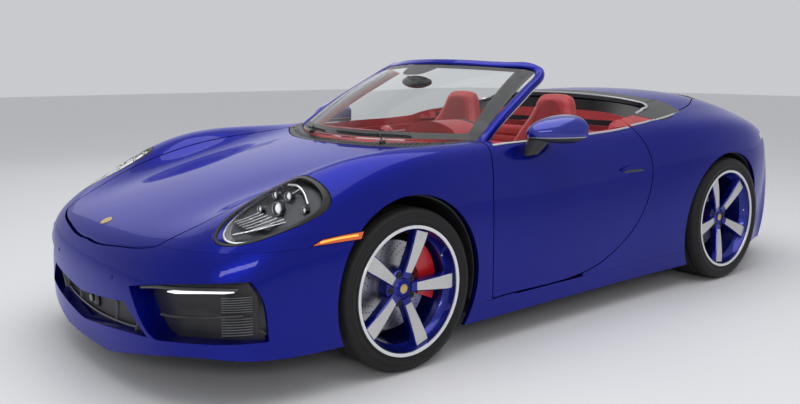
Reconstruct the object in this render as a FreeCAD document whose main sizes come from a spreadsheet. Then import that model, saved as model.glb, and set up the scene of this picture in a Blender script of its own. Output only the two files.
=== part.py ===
import FreeCAD, Part
import math
import os

import Sketcher

# An open two-door sports car. Millimetres; nose towards -Y, left side +X, floor at Z 0.
doc = FreeCAD.newDocument("convertible_car")
Vector = FreeCAD.Vector

SIZES = {
    # overall sizes
    "front_overhang": 1035, "wheelbase": 2450, "rear_overhang": 1034, "body_width": 1852,
    "header_height": 1276,
    # panels
    "skin_depth": 22, "shut_line": 6, "free_edge_gap": 4, "seam": 0.8, "door_depth": 128,
    "sill_height": 207, "underside_height": 124,
    # wheels
    "front_wheel_offset": 788, "rear_wheel_offset": 768, "front_tyre_radius": 339.75,
    "rear_tyre_radius": 358.2, "front_tyre_width": 245, "rear_tyre_width": 305,
    "front_rim_radius": 271.5, "rear_rim_radius": 284, "rim_wall": 9, "spoke_count": 5,
    "front_disc_radius": 190, "rear_disc_radius": 190, "disc_thickness": 34,
    "bearing_clearance": 0.3, "hub_radius": 34, "arch_gap_front": 48, "arch_gap_rear": 44,
    "kingpin_offset": 66, "kingpin_radius": 8, "spindle_length": 46,
    # cabin
    "glass_thickness": 5, "steering_wheel_radius": 180, "steering_rim_radius": 15,
    "seat_gap": 0.3,
    # hinges and jacking pads
    "pin_radius": 4, "pin_clearance": 0.3, "lid_arm_width": 12, "lid_arm_drop": 80, "lid_arm_reach": 88,
    "hinge_depth": 14, "jack_pad_radius": 32, "jack_pad_height": 12,
    # recesses
    "centre_recess": 60, "side_recess": 90, "lamp_depth": 88, "recess_wall": 6, "insert_wall": 12,
}
sheet = doc.addObject("Spreadsheet::Sheet", "Sizes")
for row, (alias, value) in enumerate(SIZES.items(), start=1):
    sheet.set("A%d" % row, alias)
    sheet.set("B%d" % row, str(value))
    sheet.setAlias("B%d" % row, alias)
doc.recompute()


def size(alias):
    return float(getattr(sheet, alias))


LENGTH = size("front_overhang") + size("wheelbase") + size("rear_overhang")
NOSE = -LENGTH / 2
TAIL = LENGTH / 2
FRONT_AXLE = NOSE + size("front_overhang")
REAR_AXLE = FRONT_AXLE + size("wheelbase")
SKIN = size("skin_depth")
SHUT = size("shut_line")
SEAM = size("seam")

# The lines are drawn on these stations and stretched to the sizes in the sheet.
DRAWN_NOSE, DRAWN_FRONT_AXLE, DRAWN_REAR_AXLE, DRAWN_TAIL = -2273.5, -1224.5, 1225.5, 2270.3
DRAWN_HALF_WIDTH = 934.5
DRAWN_TOP = 1276
DRAWN_FLOOR = 115


def along(y):
    """A drawn station as a place along the car."""
    if y < DRAWN_FRONT_AXLE:
        return FRONT_AXLE + (y - DRAWN_FRONT_AXLE) * size("front_overhang") / (DRAWN_FRONT_AXLE - DRAWN_NOSE)
    if y > DRAWN_REAR_AXLE:
        return REAR_AXLE + (y - DRAWN_REAR_AXLE) * size("rear_overhang") / (DRAWN_TAIL - DRAWN_REAR_AXLE)
    return FRONT_AXLE + (y - DRAWN_FRONT_AXLE) * size("wheelbase") / (DRAWN_REAR_AXLE - DRAWN_FRONT_AXLE)


def across(x):
    return x * size("body_width") / 2 / DRAWN_HALF_WIDTH


def level(z):
    return DRAWN_FLOOR + (z - DRAWN_FLOOR) * (size("header_height") - DRAWN_FLOOR) / (DRAWN_TOP - DRAWN_FLOOR)


def place(point):
    return Vector(across(point[0]), along(point[1]), level(point[2]))


# The skin of the car, one row per station from nose to tail, points (x, y, z) from the
# centreline outwards to the rocker.
LINES = [
    [(0, -2258, 90), (280, -2248, 90), (560, -2206, 90), (738, -2118, 90), (836, -1996, 90),
     (868, -1880, 90), (884, -1790, 90), (890, -1705, 90), (890, -1640, 90)],
    [(0, -2268, 160), (285, -2258, 160), (570, -2214, 160), (752, -2123, 160), (848, -1998, 160),
     (882, -1872, 160), (896, -1760, 150), (900, -1665, 120), (892, -1590, 90)],
    [(0, -2268, 300), (290, -2258, 300), (584, -2216, 300), (774, -2128, 305), (866, -1998, 310),
     (894, -1860, 310), (908, -1730, 280), (908, -1622, 190), (892, -1530, 90)],
    [(0, -2286, 450), (290, -2274, 455), (586, -2228, 465), (776, -2128, 480), (872, -1984, 490),
     (902, -1830, 480), (920, -1685, 420), (918, -1572, 260), (892, -1470, 90)],
    [(0, -2245, 560), (285, -2230, 565), (566, -2174, 580), (750, -2060, 610), (850, -1902, 640),
     (900, -1752, 620), (926, -1602, 520), (925, -1490, 300), (892, -1400, 90)],
    [(0, -2130, 618), (270, -2112, 622), (500, -2040, 636), (630, -1935, 690), (762, -1795, 748),
     (862, -1652, 728), (930, -1500, 600), (932, -1400, 330), (892, -1330, 90)],
    [(0, -1900, 695), (265, -1882, 695), (488, -1805, 695), (598, -1712, 778), (742, -1610, 860),
     (862, -1500, 805), (935, -1400, 640), (936, -1310, 350), (892, -1260, 90)],
    [(0, -1600, 770), (270, -1582, 768), (515, -1505, 758), (612, -1430, 846), (746, -1370, 922),
     (870, -1300, 855), (940, -1240, 660), (938, -1200, 360), (892, -1170, 90)],
    [(0, -1280, 832), (290, -1262, 830), (555, -1205, 820), (648, -1150, 880), (755, -1110, 926),
     (866, -1060, 870), (930, -1020, 680), (922, -1000, 380), (882, -980, 90)],
    [(0, -960, 880), (320, -932, 878), (600, -882, 873), (690, -850, 898), (770, -820, 914),
     (850, -800, 862), (902, -780, 680), (904, -770, 380), (878, -760, 90)],
    [(0, -640, 930), (340, -630, 928), (620, -620, 920), (710, -600, 916), (785, -580, 908),
     (842, -560, 852), (886, -550, 680), (897, -540, 380), (875, -530, 90)],
    [(0, -220, 985), (340, -220, 980), (630, -215, 955), (715, -210, 932), (785, -200, 908),
     (842, -200, 850), (882, -200, 680), (893, -200, 380), (872, -200, 90)],
    [(0, 150, 1030), (340, 150, 1025), (630, 150, 985), (718, 150, 950), (790, 150, 914),
     (845, 150, 855), (880, 150, 680), (890, 150, 380), (868, 150, 90)],
    [(0, 500, 1068), (340, 500, 1062), (610, 500, 1022), (710, 500, 972), (800, 500, 926),
     (860, 500, 864), (890, 500, 690), (893, 500, 390), (866, 500, 90)],
    [(0, 850, 1098), (340, 850, 1090), (595, 850, 1050), (715, 850, 990), (828, 850, 948),
     (900, 850, 888), (930, 850, 705), (918, 850, 400), (872, 850, 90)],
    [(0, 1225, 1112), (330, 1225, 1104), (575, 1225, 1062), (712, 1225, 995), (840, 1225, 955),
     (924, 1225, 892), (945, 1225, 705), (930, 1225, 400), (880, 1225, 90)],
    [(0, 1550, 1086), (320, 1550, 1078), (560, 1545, 1036), (700, 1540, 970), (822, 1530, 928),
     (906, 1520, 864), (931, 1510, 690), (915, 1500, 400), (868, 1490, 90)],
    [(0, 1840, 1018), (310, 1835, 1010), (545, 1815, 978), (682, 1790, 926), (800, 1750, 884),
     (862, 1700, 822), (892, 1660, 665), (880, 1640, 400), (838, 1620, 90)],
    [(0, 2080, 915), (300, 2070, 910), (530, 2035, 892), (655, 1990, 866), (752, 1930, 830),
     (815, 1860, 772), (850, 1800, 634), (841, 1770, 400), (800, 1750, 90)],
    [(0, 2205, 818), (300, 2193, 818), (525, 2145, 810), (645, 2083, 795), (736, 2005, 762),
     (784, 1928, 700), (814, 1874, 594), (808, 1849, 380), (774, 1832, 90)],
    [(0, 2255, 690), (300, 2242, 690), (535, 2190, 685), (658, 2125, 670), (740, 2038, 640),
     (778, 1964, 590), (796, 1923, 500), (790, 1903, 330), (754, 1887, 90)],
    [(0, 2282, 520), (300, 2268, 520), (535, 2222, 515), (658, 2157, 500), (736, 2077, 470),
     (768, 2006, 430), (784, 1969, 370), (778, 1949, 260), (742, 1933, 90)],
    [(0, 2270, 330), (300, 2258, 330), (525, 2212, 325), (648, 2147, 310), (722, 2072, 290),
     (754, 2011, 260), (770, 1979, 220), (762, 1963, 160), (728, 1953, 90)],
    [(0, 2222, 90), (290, 2212, 90), (505, 2172, 90), (618, 2112, 90), (692, 2046, 90),
     (716, 2006, 90), (730, 1986, 90), (730, 1974, 90), (722, 1962, 90)],
]


def clamped(count):
    """Knots and multiplicities of a cubic with its ends on the first and last points."""
    knots = [float(k) for k in range(count - 2)]
    return knots, [4] + [1] * (count - 4) + [4]


def greville(count, index):
    knots, times = clamped(count)
    full = [k for k, m in zip(knots, times) for _ in range(m)]
    return sum(full[index + 1:index + 4]) / 3.0


def whole_net(rows):
    """Both sides of the car from the left half's points."""
    net = []
    for row in rows:
        left = [place(p) for p in row]
        right = [Vector(-p.x, p.y, p.z) for p in reversed(left[1:])]
        net.append(right + left)
    return net


def blanket(net):
    knots_u, times_u = clamped(len(net))
    knots_v, times_v = clamped(len(net[0]))
    surface = Part.BSplineSurface()
    surface.buildFromPolesMultsKnots(net, times_u, times_v, knots_u, knots_v, False, False, 3, 3)
    return surface


def closed_form(net):
    """The solid under a blanket whose four edges lie on one level."""
    face = blanket(net).toShape()
    rim = Part.Wire(Part.__sortEdges__(face.Edges))
    return Part.makeSolid(Part.makeShell([face, Part.Face(rim)]))


NET = whole_net(LINES)
SURFACE = blanket(NET)
NET_FLOOR = NET[0][0].z


def inset_form(depth, floor_drop=30):
    """The same form drawn in by a depth, and open below."""
    count_u, count_v = len(NET), len(NET[0])
    upward = SURFACE.normal(greville(count_u, count_u // 2), greville(count_v, count_v // 2))
    sign = 1 if upward.z > 0 else -1
    net = []
    for i, row in enumerate(NET):
        line = []
        for j, point in enumerate(row):
            normal = SURFACE.normal(greville(count_u, i), greville(count_v, j))
            moved = point - normal * (sign * depth)
            if i in (0, count_u - 1) or j in (0, count_v - 1):
                moved.z = NET_FLOOR - floor_drop
            line.append(moved)
        net.append(line)
    return closed_form(net)


OUTER = closed_form(NET)
LINING = inset_form(SKIN)
ENVELOPE = inset_form(SKIN + size("seat_gap"))
FAR = 3000


def run_edge(points):
    if len(points) == 2:
        return Part.makeLine(points[0], points[1])
    curve = Part.BSplineCurve()
    curve.interpolate(points)
    return curve.toShape()


def outline_face(runs, to_space, grow=0):
    """A flat face inside runs of points: two points make a line, more make a smooth curve."""
    loops = [[to_space(p) for p in run] for run in runs]
    if grow:
        loops = grown(loops, grow)
    return Part.Face(Part.Wire([run_edge(loop) for loop in loops]))


def stations_of(points):
    """Points along a run with the direction of travel at each."""
    if len(points) == 2:
        heading = (points[1] - points[0]).normalize()
        return [(points[0], heading), (points[1], heading)]
    curve = Part.BSplineCurve()
    curve.interpolate(points)
    first, last = curve.FirstParameter, curve.LastParameter
    steps = [first + (last - first) * k / RUN_STEPS for k in range(RUN_STEPS + 1)]
    return [(curve.value(at), Vector(*curve.tangent(at)[0]).normalize()) for at in steps]


RUN_STEPS = 12
NEARLY_STRAIGHT = 0.02


def grown(loops, by):
    """The outline moved outwards by a distance, its corners kept sharp."""
    drawn = [stations_of(loop) for loop in loops]
    corners = [run[0][0] for run in drawn]
    middles = [run[len(run) // 2][0] for run in drawn]
    ring = [point for both in zip(corners, middles) for point in both]
    area = Vector(0, 0, 0)
    for here, ahead in zip(ring, ring[1:] + ring[:1]):
        area = area + here.cross(ahead)
    normal = area.normalize()
    moved = [[(point + heading.cross(normal) * by, heading) for point, heading in run] for run in drawn]
    meets = []
    for run, ahead in zip(moved, moved[1:] + moved[:1]):
        (start, heading), (other, onward) = run[-1], ahead[0]
        turn = heading.cross(onward).dot(normal)
        if abs(turn) < NEARLY_STRAIGHT:
            meets.append((start + other) * 0.5)
        else:
            meets.append(start + heading * ((other - start).cross(onward).dot(normal) / turn))
    result = []
    for run, start, end in zip(moved, meets[-1:] + meets[:-1], meets):
        spare = 0.3 * (end - start).Length / RUN_STEPS
        inner = [point for point, heading in run[1:-1]
                 if (point - start).dot(run[0][1]) > spare and (end - point).dot(run[-1][1]) > spare]
        result.append([start] + inner + [end])
    return result


def side_zone(runs, grow=0, low=0, high=FAR):
    """Everything between two widths inside an outline seen from the side, points (y, z)."""
    face = outline_face(runs, lambda p: Vector(low, along(p[0]), level(p[1])), grow)
    return face.extrude(Vector(high - low, 0, 0))


def plan_zone(runs, grow=0, low=-FAR, high=FAR):
    """The same seen from above, points (x, y)."""
    face = outline_face(runs, lambda p: Vector(across(p[0]), along(p[1]), low), grow)
    return face.extrude(Vector(0, 0, high - low))


def front_zone(runs, grow=0, low=-FAR, high=0):
    """The same seen from the front, points (x, z)."""
    face = outline_face(runs, lambda p: Vector(across(p[0]), low, level(p[1])), grow)
    return face.extrude(Vector(0, high - low, 0))


def both_sides(runs):
    """A plan or front outline from its left half, which starts and ends on the centreline."""
    return runs + [[(-x, other) for x, other in reversed(run)] for run in reversed(runs)]


def mirrored(shape):
    return shape.mirror(Vector(0, 0, 0), Vector(1, 0, 0))


def pair(shape):
    """A left piece with its right twin."""
    return Part.makeCompound([shape, mirrored(shape)])


def one_solid(shape):
    """The largest solid of a cut, as a clean shape."""
    solids = sorted(shape.Solids, key=lambda s: s.Volume)
    return solids[-1]


def box(x0, x1, y0, y1, z0, z1):
    return Part.makeBox(x1 - x0, y1 - y0, z1 - z0, Vector(x0, y0, z0))


def bar(start, end, radius):
    direction = end - start
    return Part.makeCylinder(radius, direction.Length, start, direction)


def fused(shapes):
    first, *rest = shapes
    return first.multiFuse(rest).removeSplitter() if rest else first


def node(label, shape):
    item = doc.addObject("Part::Feature", label)
    item.Label = label
    item.Shape = shape
    return item


# Shut lines and seams, drawn once and used by the panels on both sides of each.
SILL_TOP = size("sill_height")
BUMPER_TOP = 583
DOOR_OUTLINE = [
    [(-716, 213), (-400, 213), (-100, 222), (80, 256), (230, 320), (360, 408), (450, 520), (496, 640)],
    [(496, 640), (504, 700), (494, 765), (466, 832), (430, 904)],
    [(430, 904), (430, 1000)],
    [(430, 1000), (-660, 1000)],
    [(-660, 1000), (-676, 880)],
    [(-676, 880), (-700, 800), (-722, 660), (-728, 500), (-724, 340), (-716, 213)],
]
HOOD_OUTLINE = both_sides([
    [(0, -2238), (150, -2235), (310, -2211), (440, -2180), (505, -2152)],
    [(505, -2152), (524, -2120), (551, -2041), (585, -1889), (603, -1600), (626, -1317), (646, -1000),
     (655, -800)],
    [(655, -800), (560, -862), (400, -944), (200, -996), (0, -1012)],
])
COWL_OUTLINE = both_sides([
    [(0, -1014), (200, -998), (400, -946), (560, -864), (655, -802)],
    [(655, -802), (726, -652)],
    [(726, -652), (640, -718), (450, -832), (220, -922), (0, -950)],
])
TOP_COVER_OUTLINE = both_sides([
    [(0, 868), (326, 880), (506, 925), (600, 992), (722, 990)],
    [(722, 990), (690, 1120), (640, 1250), (590, 1350), (545, 1432)],
    [(545, 1432), (300, 1450), (0, 1456)],
])
COVER_BAND_OUTLINE = both_sides([
    [(0, 706), (240, 711), (400, 726), (516, 760), (588, 806)],
    [(588, 806), (634, 796), (662, 752), (681, 663), (702, 575)],
    [(702, 575), (752, 640), (784, 720), (770, 850), (731, 990)],
    [(731, 990), (600, 998), (506, 932), (326, 887), (0, 875)],
])
ENGINE_LID_OUTLINE = both_sides([
    [(0, 1568), (300, 1562), (530, 1544)],
    [(530, 1544), (548, 1700), (560, 1900), (548, 2052)],
    [(548, 2052), (300, 2120), (0, 2138)],
])
DECK_STRIP_OUTLINE = both_sides([
    [(0, 1458), (300, 1452), (545, 1434)],
    [(545, 1434), (530, 1542)],
    [(530, 1542), (300, 1560), (0, 1566)],
])
COCKPIT_OUTLINE = both_sides([
    [(0, -948), (220, -920), (450, -830), (640, -716), (724, -654)],
    [(724, -654), (775, -560), (782, -300), (784, 50), (780, 250)],
    [(780, 250), (745, 310), (690, 640), (681, 663), (660, 752), (632, 794), (588, 804)],
    [(588, 804), (516, 758), (400, 724), (240, 709), (0, 704)],
])
SIDE_TRIM_OUTLINE = [
    [(780, 252), (790, 420), (784, 560), (774, 668)],
    [(774, 668), (752, 638), (702, 573)],
    [(702, 573), (745, 312), (780, 252)],
]
LAMP_BAND = [
    [(1740, 792), (2500, 792)],
    [(2500, 792), (2500, 826)],
    [(2500, 826), (1740, 826)],
    [(1740, 826), (1726, 809), (1740, 792)],
]
REAR_BUMPER_ZONE = [
    [(1500, 642), (1620, 690), (1720, 765)],
    [(1720, 765), (1728, 792)],
    [(1728, 792), (2500, 792)],
    [(2500, 792), (2500, 0)],
    [(2500, 0), (1225, 0)],
    [(1225, 0), (1225, 642)],
    [(1225, 642), (1500, 642)],
]


def rectangle(x0, x1, y0, y1):
    return [[(x0, y0), (x1, y0)], [(x1, y0), (x1, y1)], [(x1, y1), (x0, y1)], [(x0, y1), (x0, y0)]]


def shut(zone, runs, **where):
    """A moving panel's outline and the larger opening that it closes."""
    return zone(runs, grow=-SHUT / 2, **where), zone(runs, grow=SHUT / 2, **where)


def set_back(zone, distance):
    """A lid's outline with its free edge drawn back, because that edge swings forward as it lifts."""
    return zone.common(zone.translated(Vector(0, distance, 0)))


DOOR_ZONE, DOOR_OPENING = shut(side_zone, DOOR_OUTLINE)
HOOD_ZONE, HOOD_OPENING = shut(plan_zone, HOOD_OUTLINE, low=level(480))
COVER_ZONE, COVER_OPENING = shut(plan_zone, TOP_COVER_OUTLINE, low=level(700))
BAND_ZONE, BAND_OPENING = shut(plan_zone, COVER_BAND_OUTLINE, low=level(700))
LID_ZONE, LID_OPENING = shut(plan_zone, ENGINE_LID_OUTLINE, low=level(700))
HOOD_ZONE = set_back(HOOD_ZONE, size("free_edge_gap"))
LID_ZONE = set_back(LID_ZONE, -size("free_edge_gap"))

FRONT_ARCH_RADIUS = size("front_tyre_radius") + size("arch_gap_front")
REAR_ARCH_RADIUS = size("rear_tyre_radius") + size("arch_gap_rear")
ARCH_SETBACK = 15


def axle_cylinder(y, z, radius, x0=-FAR, x1=FAR):
    return bar(Vector(x0, y, z), Vector(x1, y, z), radius)


FRONT_ARCH = axle_cylinder(FRONT_AXLE + ARCH_SETBACK, size("front_tyre_radius") + 6, FRONT_ARCH_RADIUS)
REAR_ARCH = axle_cylinder(REAR_AXLE, size("rear_tyre_radius") - 12, REAR_ARCH_RADIUS)
ARCHES = [FRONT_ARCH, REAR_ARCH]
UNDERSIDE = size("underside_height")
GROUND = box(-FAR, FAR, -FAR, FAR, -FAR, UNDERSIDE)


def skin(zone, *cuts, lining=LINING):
    shape = OUTER.common(zone)
    for cutter in (lining, GROUND, *cuts):
        shape = shape.cut(cutter)
    return one_solid(shape)


# Windscreen: a frame swept round the glass.
PILLAR_LINE = [(728, -652, 884), (705, -520, 978), (676, -330, 1090), (650, -190, 1166), (628, -124, 1206),
               (590, -106, 1230), (520, -130, 1244)]
HEADER_BOW, HEADER_CROWN = 172, 26
HEADER_Y, HEADER_Z = -290, 1262


def frame_path():
    left = [place(p) for p in PILLAR_LINE]
    header = []
    for x in (400, 260, 130, 0):
        share = (x / 540.0) ** 2
        header.append(place((x, HEADER_Y + HEADER_BOW * share, HEADER_Z - HEADER_CROWN * share)))
    half = left + header
    return half + [Vector(-p.x, p.y, p.z) for p in reversed(half[:-1])]


path_curve = Part.BSplineCurve()
path_curve.interpolate(frame_path())


def rounded_section(width, depth, radius):
    """A rectangle with round corners in the XY plane."""
    face = Part.makePlane(width, depth, Vector(-width / 2, -depth / 2, 0))
    return face.makeOffset2D(-radius).makeOffset2D(radius).OuterWire


def swept(path_curve, width, depth, radius, stations):
    """A section carried along a curve, its depth along the outward direction."""
    first, last = path_curve.FirstParameter, path_curve.LastParameter
    wires = []
    for step in range(stations + 1):
        at = first + (last - first) * step / stations
        point = path_curve.value(at)
        forward = Vector(*path_curve.tangent(at)[0])
        outward = Vector(0, -0.55, 0.83)
        side = forward.cross(outward).normalize()
        up = side.cross(forward).normalize()
        section = rounded_section(width, depth, radius)
        matrix = FreeCAD.Matrix(
            side.x, up.x, forward.x, point.x,
            side.y, up.y, forward.y, point.y,
            side.z, up.z, forward.z, point.z, 0, 0, 0, 1)
        section.Placement = FreeCAD.Placement(matrix)
        wires.append(section)
    return Part.makeLoft(wires, True, False)


FRAME_WIDTH, FRAME_DEPTH, FRAME_ROUND, FRAME_STATIONS = 46, 34, 12, 36
FRAME_CLEARANCE = 5
windscreen_frame = swept(path_curve, FRAME_WIDTH, FRAME_DEPTH, FRAME_ROUND, FRAME_STATIONS)
around_frame = swept(path_curve, FRAME_WIDTH + 2 * FRAME_CLEARANCE, FRAME_DEPTH + 2 * FRAME_CLEARANCE,
                     FRAME_ROUND + FRAME_CLEARANCE, FRAME_STATIONS)
frame_foot = path_curve.value(path_curve.FirstParameter)
foot_forward = Vector(*path_curve.tangent(path_curve.FirstParameter)[0])
around_frame = around_frame.fuse(bar(frame_foot - foot_forward * 3 * FRAME_CLEARANCE,
                                     frame_foot + foot_forward * FRAME_CLEARANCE,
                                     FRAME_WIDTH / 2 + 2 * FRAME_CLEARANCE))
FOOT_OUTLINE = [
    [(-769, 850.3), (-751, 850.3)], [(-751, 850.3), (-640, 866)], [(-640, 866), (-636, 884)],
    [(-636, 884), (-664, 884)], [(-664, 884), (-690, 868)], [(-690, 868), (-769, 866)],
    [(-769, 866), (-769, 850.3)],
]
pillar_strut = side_zone(FOOT_OUTLINE, low=686, high=716)
windscreen_frame = one_solid(fused([windscreen_frame, pillar_strut, mirrored(pillar_strut)]))
node("windscreen_frame", windscreen_frame)


def glass_row(share):
    """Half a cross-line of the windscreen, from the centreline to the frame."""
    low = place((0, -952, 897))
    high = place((0, HEADER_Y - 26, HEADER_Z - 10))
    low_edge = place((716, -642, 899))
    high_edge = place((578, -132, 1224))
    points = []
    for part in (0, 0.35, 0.7, 1):
        bow = part ** 2
        centre = low * (1 - share) + high * share
        edge = low_edge * (1 - share) + high_edge * share
        x = edge.x * part
        y = centre.y + (edge.y - centre.y) * bow
        z = centre.z + (edge.z - centre.z) * bow + 26 * math.sin(math.pi * share)
        points.append(Vector(x, y, z))
    return points


def glass_face():
    rows = []
    for share in (0, 0.33, 0.67, 1):
        half = glass_row(share)
        rows.append([Vector(-p.x, p.y, p.z) for p in reversed(half[1:])] + half)
    surface = Part.BSplineSurface()
    surface.interpolate(rows)
    return surface.toShape()


glass = glass_face()
windscreen_glass = one_solid(glass.extrude(Vector(0, -0.5, 0.866) * size("glass_thickness"))
                             .cut(windscreen_frame))
node("windscreen_glass", windscreen_glass)

cockpit = plan_zone(COCKPIT_OUTLINE, grow=SEAM / 2, low=level(820))
sill_zone = side_zone(rectangle(DRAWN_FRONT_AXLE, DRAWN_REAR_AXLE, 0, SILL_TOP), grow=0)
above_sill = side_zone(rectangle(DRAWN_FRONT_AXLE, DRAWN_REAR_AXLE, 0, SILL_TOP), grow=SEAM)
bumper_zone = side_zone(rectangle(-2600, DRAWN_FRONT_AXLE, 0, BUMPER_TOP), low=-FAR)
above_bumper = side_zone(rectangle(-2600, DRAWN_FRONT_AXLE, 0, BUMPER_TOP), grow=SEAM, low=-FAR)
rear_zone = side_zone(REAR_BUMPER_ZONE, low=-FAR)
above_rear_bumper = side_zone(REAR_BUMPER_ZONE, grow=SEAM, low=-FAR)
lamp_zone = side_zone(LAMP_BAND, low=-FAR)
around_lamp = side_zone(LAMP_BAND, grow=SEAM, low=-FAR)
cowl_zone = plan_zone(COWL_OUTLINE, low=level(700))
around_cowl = plan_zone(COWL_OUTLINE, grow=SEAM, low=level(700))
strip_zone = plan_zone(DECK_STRIP_OUTLINE, low=level(700))
around_strip = plan_zone(DECK_STRIP_OUTLINE, grow=SEAM, low=level(700))
trim_zone = plan_zone(SIDE_TRIM_OUTLINE, low=level(700))
around_trim = plan_zone(SIDE_TRIM_OUTLINE, grow=SEAM, low=level(700))

front_bumper = skin(bumper_zone, HOOD_OPENING, FRONT_ARCH)
front_fender = skin(
    box(0, FAR, along(-2600), along(-560), 0, FAR), HOOD_OPENING, DOOR_OPENING, FRONT_ARCH, above_sill,
    above_bumper, around_cowl, cockpit)
rear_quarter = skin(
    box(0, FAR, along(-60), TAIL + 100, 0, FAR), DOOR_OPENING, COVER_OPENING, BAND_OPENING, LID_OPENING,
    REAR_ARCH, above_sill, above_rear_bumper, around_lamp, around_strip, around_trim, cockpit)
sill = skin(sill_zone, FRONT_ARCH, REAR_ARCH)
rear_bumper = skin(rear_zone, REAR_ARCH, around_lamp)
tail_lamp = skin(lamp_zone)
wiper_cowl = skin(cowl_zone, HOOD_OPENING, DOOR_OPENING, mirrored(DOOR_OPENING), cockpit, windscreen_frame)

# Hinges of the lids: a goose-necked arm swings on a pin in a pocket under the fixed panel.
PIN_RADIUS = size("pin_radius")
EYE_WALL, POCKET_SPARE, ARM_HALF = 3.5, 6, 5
DECK_HINGE_Y, DECK_HINGE_Z = along(1512), level(1080) - size("hinge_depth")
HOOD_HINGE_Y, HOOD_HINGE_Z = along(-757), level(900) - size("hinge_depth")
COVER_ARM_X, ENGINE_ARM_X, HOOD_ARM_X = across(205), across(125), across(630)


def cross_bar(x, y, z, radius, half_width):
    return bar(Vector(x - half_width, y, z), Vector(x + half_width, y, z), radius)


def lid_arm(x, y, z, toward, rise):
    """An eye on the pin, then down, along and up into the lid; toward is the lid's side."""
    half = size("lid_arm_width") / 2
    drop, reach = size("lid_arm_drop"), toward * size("lid_arm_reach")
    near, far_end = sorted((y, y + reach))
    tip = y + reach
    arm = fused([
        cross_bar(x, y, z, PIN_RADIUS + size("pin_clearance") + EYE_WALL, half),
        box(x - half, x + half, y - ARM_HALF, y + ARM_HALF, z - drop, z),
        box(x - half, x + half, near - ARM_HALF, far_end + ARM_HALF, z - drop - ARM_HALF, z - drop + ARM_HALF),
        box(x - half, x + half, tip - ARM_HALF, tip + ARM_HALF, z - drop, z + rise),
    ])
    return arm.cut(cross_bar(x, y, z, PIN_RADIUS + size("pin_clearance"), half + 1))


def lid_pocket(x, y, z, toward):
    half = size("lid_arm_width") / 2 + POCKET_SPARE
    near, far_end = sorted((y - toward * 13, y + toward * 38))
    return box(x - half, x + half, near, far_end, z - FAR, z + PIN_RADIUS + EYE_WALL + 2)


def lid_pin(x, y, z):
    return cross_bar(x, y, z, PIN_RADIUS, size("lid_arm_width") / 2 + POCKET_SPARE + 2)


def with_pins(panel, places):
    """A fixed panel with a pocket and a pin for each arm."""
    for x, y, z, toward, rise in places:
        for side in (x, -x):
            panel = panel.cut(lid_pocket(side, y, z, toward)).fuse(lid_pin(side, y, z))
    return one_solid(panel)


def with_arms(lid, x, y, z, toward, rise):
    return one_solid(lid.fuse([lid_arm(side, y, z, toward, rise) for side in (x, -x)]))


HOOD_HINGE = (HOOD_ARM_X, HOOD_HINGE_Y, HOOD_HINGE_Z, -1, -6)
COVER_HINGE = (COVER_ARM_X, DECK_HINGE_Y, DECK_HINGE_Z, -1, 14)
ENGINE_HINGE = (ENGINE_ARM_X, DECK_HINGE_Y, DECK_HINGE_Z, 1, -6)
wiper_cowl = with_pins(wiper_cowl, [HOOD_HINGE])
front_lid = with_arms(skin(HOOD_ZONE), *HOOD_HINGE)
engine_lid = with_arms(skin(LID_ZONE), *ENGINE_HINGE)
top_cover = with_arms(skin(COVER_ZONE), *COVER_HINGE)
cover_band = skin(BAND_ZONE, plan_zone(TOP_COVER_OUTLINE, grow=SEAM - SHUT / 2, low=level(700)))
deck_strip = with_pins(skin(strip_zone), [COVER_HINGE, ENGINE_HINGE])
side_trim = skin(trim_zone, DOOR_OPENING, BAND_OPENING, cockpit)

# Body: openings in the bumpers and fenders, and what fills them.
CENTRE_INTAKE = both_sides([
    [(0, 322), (124, 334), (300, 350), (400, 362)],
    [(400, 362), (440, 330), (492, 288), (540, 250)],
    [(540, 250), (460, 246), (238, 226), (0, 203)],
])
SIDE_INTAKE = [
    [(440, 430), (520, 446), (620, 464), (722, 478), (930, 484)],
    [(930, 484), (930, 252)],
    [(930, 252), (820, 262), (700, 260), (590, 250)],
    [(590, 250), (548, 268), (488, 338), (440, 430)],
]
SIDE_INTAKE_END = [
    [(-2500, 600), (-1990, 600)],
    [(-1990, 600), (-1944, 478), (-1912, 415), (-1897, 338), (-1890, 262), (-1886, 200)],
    [(-1886, 200), (-2500, 200)],
    [(-2500, 200), (-2500, 600)],
]
BUMPER_EDGE = both_sides([
    [(0, 116), (200, 119), (350, 146), (500, 176), (670, 203), (800, 206), (885, 184), (1000, 165)],
    [(1000, 165), (1000, 0)],
    [(1000, 0), (0, 0)],
])
MARKER_OUTLINE = [
    [(-1711, 588), (-1662, 609)],
    [(-1662, 609), (-1561, 616), (-1465, 619)],
    [(-1465, 619), (-1485, 590)],
    [(-1485, 590), (-1711, 588)],
]
LAMP_CENTRE = (750, 716)
LAMP_RADII = (126, 100)
LAMP_TURN = -38
LAMP_DROP = 24


def lamp_zone_at(grow):
    major, minor = LAMP_RADII
    turned = FreeCAD.Placement(
        Vector(across(LAMP_CENTRE[0]), along(-2200), level(LAMP_CENTRE[1])),
        FreeCAD.Rotation(Vector(1, 0, 0), 90))
    ellipse = Part.Ellipse(Vector(0, 0, 0), major + grow, minor + grow).toShape()
    face = Part.Face(Part.Wire(ellipse))
    face.rotate(Vector(0, 0, 0), Vector(0, 0, 1), LAMP_TURN)
    face.Placement = turned.multiply(face.Placement)
    return face.extrude(Vector(0, 780, 0))


EXHAUST_OPENING = [
    [(-156, 240), (156, 240)],
    [(156, 240), (172, 300), (156, 360)],
    [(156, 360), (-156, 360)],
    [(-156, 360), (-172, 300), (-156, 240)],
]
exhaust_opening = front_zone(EXHAUST_OPENING, low=along(2000), high=FAR)
INTAKE_BACK = along(-1880)


def centre_zone(grow=0):
    return front_zone(CENTRE_INTAKE, grow=grow, high=along(-1900))


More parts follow.
